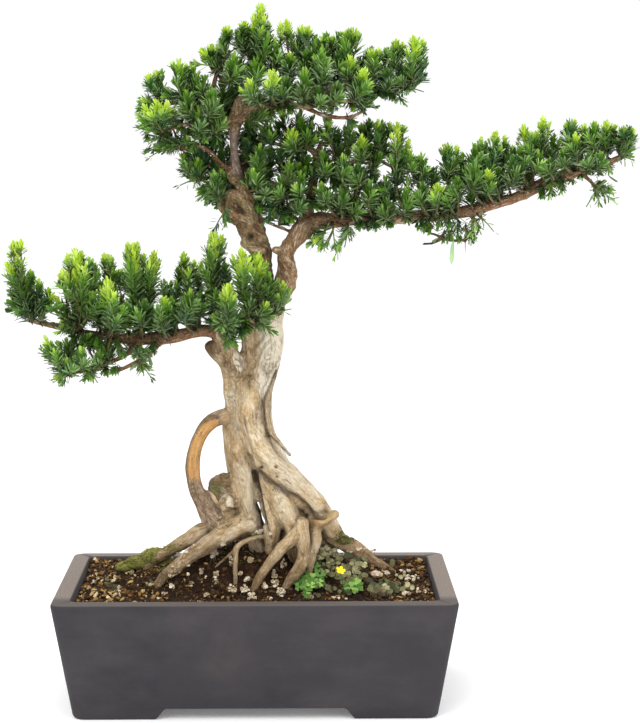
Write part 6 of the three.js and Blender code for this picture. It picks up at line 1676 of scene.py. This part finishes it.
MOSS_PATCHES = rows_of("""
-110 152 15 7 260 3.2 -2 .85, -127 147 14 6 170 3 -2 .7, -142 141 11 6 110 2.6 -2 .5
-108 138 12 6 60 2.6 0 .5, -90 158 10 4 60 2.4 -1 .6, 96 168 10 6 90 3 -1 .25, -20 150 20 10 60 2.4 0 .2
120 140 20 8 60 2.4 0 .2, -40 185 10 6 50 2.6 -1 .4
""")
# Cushions of moss on the soil behind the left roots: x, z and depth in the front view, and three half sizes.
CUSHIONS = rows_of("""
-110 149 38 15 9 9, -127 142 42 14 9 8, -142 137 46 11 8 7, -100 143 44 12 9 9
""")

CUSHION_MIDDLES = np.array([seen(*row[:3]) for row in CUSHIONS])
CUSHION_SIZES = np.array([row[3:] for row in CUSHIONS], float)


def make_cushions(material):
    """Lumpy cushions under the moss tufts, sunk in the soil."""
    work = bmesh.new()
    for number, (middle, reach) in enumerate(zip(CUSHION_MIDDLES, CUSHION_SIZES)):
        ball, spots = rough_ball(work, 4, 1.0, 0.96, ((0.1, 2.6, 25 + number), (0.05, 7, 35 + number)))
        for vertex, spot in zip(ball, spots * reach):
            vertex.co = Vector((middle + spot + SHIFT) * MM)
    piece = new_object("moss_cushions", mesh_of("moss_cushions", work))
    paint(piece.data, "tint", np.full(len(piece.data.vertices), 0.45))
    smooth_faces(piece.data)
    finish_piece(piece, "sorrel_leaf", material)


def herb_material(name, dark, middle, light, rough=0.6):
    look = Look(name, rough, 0.35)
    tone = look.attribute("tint")
    colour = look.ramp(tone, (0.0, dark), (0.5, middle), (1.0, light))
    veins = look.noise(1.6, 3, 0.7)
    colour = look.mix(look.ramp(veins, (0.35, 0.5), (0.55, 0.0)), colour, dark)
    look.bump(veins, 0.3, 0.5)
    return look.done(colour)


def sow(name, slot_name, material, templates, patches, seed, tilt, stalk, share, more, *nodes):
    """Scatters small leaves over their patches, each on a thin stalk from the soil when stalk is set."""
    draw = np.random.default_rng(seed)
    tree = scatter_tree(name, templates, material)
    places, turns, sizes, tints = [], [], [], []
    stems = Tubes()
    for x, z, wide, high, count, size, lift, tone in patches:
        for _ in range(int(count * more)):
            turn, reach = draw.uniform(0, 6.28), 1.25 * math.sqrt(draw.random())
            spot = (x + wide * reach * math.cos(turn), z + high * reach * math.sin(turn))
            clings = lift < 0
            if clings:
                place = spot_on_cushion(*spot) if lift == -2 else spot_on_wood(*spot)
            else:
                place = spot_on_ground(*spot, lift * draw.uniform(0.25, 1.0))
            if place is None or (not clings and nearest_wood(place)[0] < 1.0):
                continue
            places.append(place)
            facing = Euler((draw.normal(tilt, 0.3), draw.normal(0, 0.3), 0)).to_matrix()
            turns.append((facing @ Matrix.Rotation(draw.uniform(0, 6.28), 3, "Z")).to_euler()[:])
            sizes.append(size * share * draw.uniform(0.7, 1.15))
            tints.append(np.clip(tone + draw.normal(0, 0.2), 0, 1))
            if stalk:
                foot = place.copy() + np.array([draw.uniform(-3, 3), draw.uniform(-3, 3), 0])
                foot[2] = ground(foot[0], foot[1]) - 1.5
                if clings:
                    foot = place + np.array([0, 5.0, -2.0])
                bow = (foot + place) / 2 + np.array([draw.uniform(-1, 1), draw.uniform(-1, 1), 1.0])
                stems.add(np.array([foot, bow, place - [0, 0, 0.2]]), [0.4, 0.33, 0.26], 3, 0.12)
    sizes = np.array(sizes)
    piece = scatter(name, tree, places, turns, np.stack([sizes, sizes, sizes], 1),
                    draw.integers(0, len(templates), len(sizes)), tint=tints)
    if stalk:
        work = bmesh.new()
        work.from_mesh(piece.data)
        stalks = mesh_object(name + "_stalks", np.array(stems.points), stems.faces, {"tint": stems.values})
        face_outward(stalks)
        work.from_mesh(stalks.data)
        work.to_mesh(piece.data)
        work.free()
        bpy.data.objects.remove(stalks)
    finish_piece(piece, slot_name, material, *nodes)
    for template in templates:
        bpy.data.objects.remove(template)
    return piece


# The flower stands a little left of and above the solid's place, as the photograph shows it.
FLOWER_SHIFT = (-3.5, 0, 8)
FLOWER_SIZE = 6.6
# Where the pale pebble shows in the front view, and its width, depth and height.
PEBBLE_SPOT = (129, 128)
PEBBLE_SIZE = (13, 8, 8)


def make_plants():
    clover = [joined_template(f"clover_{i}", [(HEART, cup, turn, 0.34) for turn in (0.2, 2.3, 4.4)])
              for i, cup in enumerate((-0.35, 0.3))]
    sow("sorrel_leaves", "sorrel_leaf", herb_material("wood sorrel leaf", "#25400F", "#53802B", "#94BC54"),
        clover, SORREL_PATCHES, 41, 0.75, True, 0.78, 1.3, "wood_sorrel")
    rounds = [disc_template("round_0", ROUND, 0.3), disc_template("round_1", NOTCHED, -0.3),
              disc_template("round_2", NOTCHED, 0.5)]
    dulled = herb_material("dulled round leaf", "#2E2E16", "#727048", "#BDB68C", 0.75)
    sow("pennywort_leaves", "sorrel_leaf", dulled, rounds, ROUND_PATCHES, 42, 0.8, True, 0.9, 1.25)
    dry = [disc_template("dry_0", ROUND, 0.7), disc_template("dry_1", OVATE, 0.9),
           disc_template("dry_2", NOTCHED, -0.8)]
    bleached = herb_material("bleached dry leaf", "#4E3A26", "#A48E6A", "#E2D6BC", 0.85)
    sow("dry_leaves", "dry_leaf", bleached, dry, DRY_PATCHES, 43, 0.7, True, 0.66, 2.9,
        "dry_creeper_left", "dry_creeper_front")
    tufts = [joined_template(f"tuft_{i}", [(BLADE, 0.6 + 0.2 * i, 1.26 * k + i, 0.35) for k in range(5)])
             for i in range(2)]
    cushion = herb_material("cushion moss", "#44421E", "#8A8A44", "#C8C478", 0.9)
    make_cushions(cushion)
    sow("moss", "sorrel_leaf", cushion, tufts, MOSS_PATCHES, 44, 0.2, False, 1, 1)
    petals = joined_template("flower", [(PETAL, 0.25, 1.2566 * k, 0.12) for k in range(5)])
    look = Look("yellow petal", 0.55, 0.3)
    look.done(look.ramp(look.noise(1.5, 3, 0.6), (0.35, "#D9B800"), (0.6, "#F6E21C")))
    low, high = [np.array(corner) / MM - SHIFT + FLOWER_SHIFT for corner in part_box("sorrel_flower")]
    top = (low + high) / 2
    tree = scatter_tree("Flower", [petals], look.material)
    piece = scatter("flower", tree, [top], [(0.75, 0.12, 0.3)], [(FLOWER_SIZE,) * 3], [0])
    finish_piece(piece, "petal", None, "sorrel_flower")
    bpy.data.objects.remove(petals)
    stalk = Tubes()
    foot = [top[0] + 3, top[1] + 4, ground(top[0], top[1]) - 1]
    bow = [top[0] + 2, top[1] + 2, top[2] - 9]
    stalk.add(np.array([foot, bow, [top[0], top[1], top[2] - 0.4]]), [0.6, 0.5, 0.4], 5)
    piece = mesh_object("flower_stalk", np.array(stalk.points), stalk.faces, {"tint": stalk.values})
    face_outward(piece)
    finish_piece(piece, "sorrel_leaf", herb_material("flower stalk", "#4C6A2C", "#6C8A3A", "#8CA84E"))


def rock_piece(name, work, look, grain, bump, stops, *nodes):
    """A smooth stone from a bmesh, speckled by a ramp over fine grain."""
    piece = new_object(name, mesh_of(name, work))
    smooth_faces(piece.data)
    fine = look.noise(grain, 4, 0.7)
    look.bump(fine, *bump)
    finish_piece(piece, "pebble", look.done(look.ramp(fine, *stops)), *nodes)


def make_stone():
    low, high = [np.array(corner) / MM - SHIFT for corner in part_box("stone")]
    work = bmesh.new()
    ball, spots = rough_ball(work, 4, 0.5, 1, ((0.1, 2.2, 5), (0.05, 6, 6)))
    flat = np.clip(spots, -0.44, 0.44)
    flat = (flat - flat.min(0)) / (flat.max(0) - flat.min(0))
    for vertex, place in zip(ball, flat):
        vertex.co = Vector((low + SHIFT + place * (high - low)) * MM)
    rock_piece("river_stone", work, Look("tan stone", 0.8, 0.3), 1.5, (0.3, 0.6),
               ((0.3, "#4A3B2C"), (0.5, "#6E5A44"), (0.7, "#917C62")), "stone")


def make_pebble():
    """A pale stone lying on the soil among the round leaves."""
    place = spot_on_ground(*PEBBLE_SPOT, 1.5)
    work = bmesh.new()
    ball, spots = rough_ball(work, 3, 0.5, 1, ((0.12, 2.4, 15), (0.06, 6, 16)))
    for vertex, spot in zip(ball, spots * PEBBLE_SIZE):
        vertex.co = Vector((place + spot + SHIFT) * MM)
    rock_piece("pale_pebble", work, Look("pink and cream stone", 0.8, 0.3), 2.5, (0.5, 0.7),
               ((0.35, "#9A7A68"), (0.5, "#CDB49C"), (0.62, "#EBDDC8")))


def make_screens():
    look = Look("woven drain screen", 0.55, 0.4)
    waves = [node(look.tree, "ShaderNodeTexWave", {"Scale": per(6.3), "bands_direction": axis},
                  {"Vector": look.place}).outputs["Fac"] for axis in ("X", "Y")]
    wire = look.math("MAXIMUM", *waves)
    look.bump(wire, 0.5, 1.0)
    material = look.done(look.ramp(wire, (0.5, "#0C0C0D"), (0.8, "#3C3F44")))
    for name in ("drain_screen_left", "drain_screen_right"):
        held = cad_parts[name]
        held = bpy.data.objects[held] if isinstance(held, str) else held
        if held.data.materials:
            held.data.materials[0] = material
        else:
            held.data.materials.append(material)


# Floor, light and camera

# Lamps: name, place in metres, size in metres and power in watts.
LAMPS = (("key", (-0.9, -1.7, 1.9), 1.5, 30), ("fill", (1.5, -1.5, 1.1), 1.6, 13),
         ("top", (0.1, 0.3, 2.2), 1.6, 16))
# The lamps point at this height, in metres.
AIM_HEIGHT = 0.35
FLOOR_GLOW = 0.14
SKY_POWER = 1.02
FLOOR_REACH = 60.0
# The camera that took the photograph: its turn and dip in radians, its place in millimetres along X and in
# metres away from the pot and above the table, and its focal length in pixels.
YAW, PITCH = -0.0142, 0.1244
CAMERA_X = 38.1
CAMERA_AWAY = 2.125
CAMERA_HEIGHT = 0.6256
FOCAL_LENGTH = 2009
PHOTO_HEIGHT = 723
SENSOR = 36


def make_stage():
    look = Look("pale studio floor", 0.9, 0.2)
    look.surface.inputs["Emission Color"].default_value = linear("#FFFFFF")
    look.surface.inputs["Emission Strength"].default_value = FLOOR_GLOW
    look.done(look.ramp(look.noise(400, 2, 0.5), (0.3, "#F4F4F3"), (0.7, "#FAFAF9")))
    mesh = bpy.data.meshes.new("floor")
    corners = [(x * FLOOR_REACH, y * FLOOR_REACH, 0) for x, y in ((-1, -1), (1, -1), (1, 1), (-1, 1))]
    mesh.from_pydata(corners, [], [(0, 1, 2, 3)])
    mesh.materials.append(look.material)
    new_object("floor", mesh)
    world = bpy.data.worlds.new("studio")
    bpy.context.scene.world = world
    world.use_nodes = True
    world.node_tree.nodes["Background"].inputs["Color"].default_value = linear("#FDFDFF")
    world.node_tree.nodes["Background"].inputs["Strength"].default_value = SKY_POWER
    middle = Vector(((SHIFT[0] + EYE[0]) * MM, 0, AIM_HEIGHT))
    for name, place, size, power in LAMPS:
        lamp = bpy.data.lights.new(name, "AREA")
        lamp.size = size
        lamp.energy = power
        holder = new_object(name, lamp)
        holder.location = place
        holder.rotation_euler = (middle - Vector(place)).to_track_quat("-Z", "Y").to_euler()


def make_camera():
    forward = Vector((-math.sin(YAW) * math.cos(PITCH), math.cos(YAW) * math.cos(PITCH), -math.sin(PITCH)))
    right = Vector((math.cos(YAW), math.sin(YAW), 0))
    up = right.cross(forward)
    lens = bpy.data.cameras.new("camera")
    lens.sensor_width = SENSOR
    lens.lens = FOCAL_LENGTH / PHOTO_HEIGHT * SENSOR
    lens.clip_end = 30
    holder = new_object("camera", lens)
    turned = Matrix((right, up, -forward)).transposed().to_4x4()
    turned.translation = Vector(((CAMERA_X + SHIFT[0]) * MM, -CAMERA_AWAY, CAMERA_HEIGHT))
    holder.matrix_world = turned
    bpy.context.scene.camera = holder


bpy.context.scene.view_settings.view_transform = "Standard"
make_camera()
make_stage()
make_pot()
make_soil()
make_chips()
make_wood()
make_sprays()
make_plants()
make_stone()
make_pebble()
make_screens()
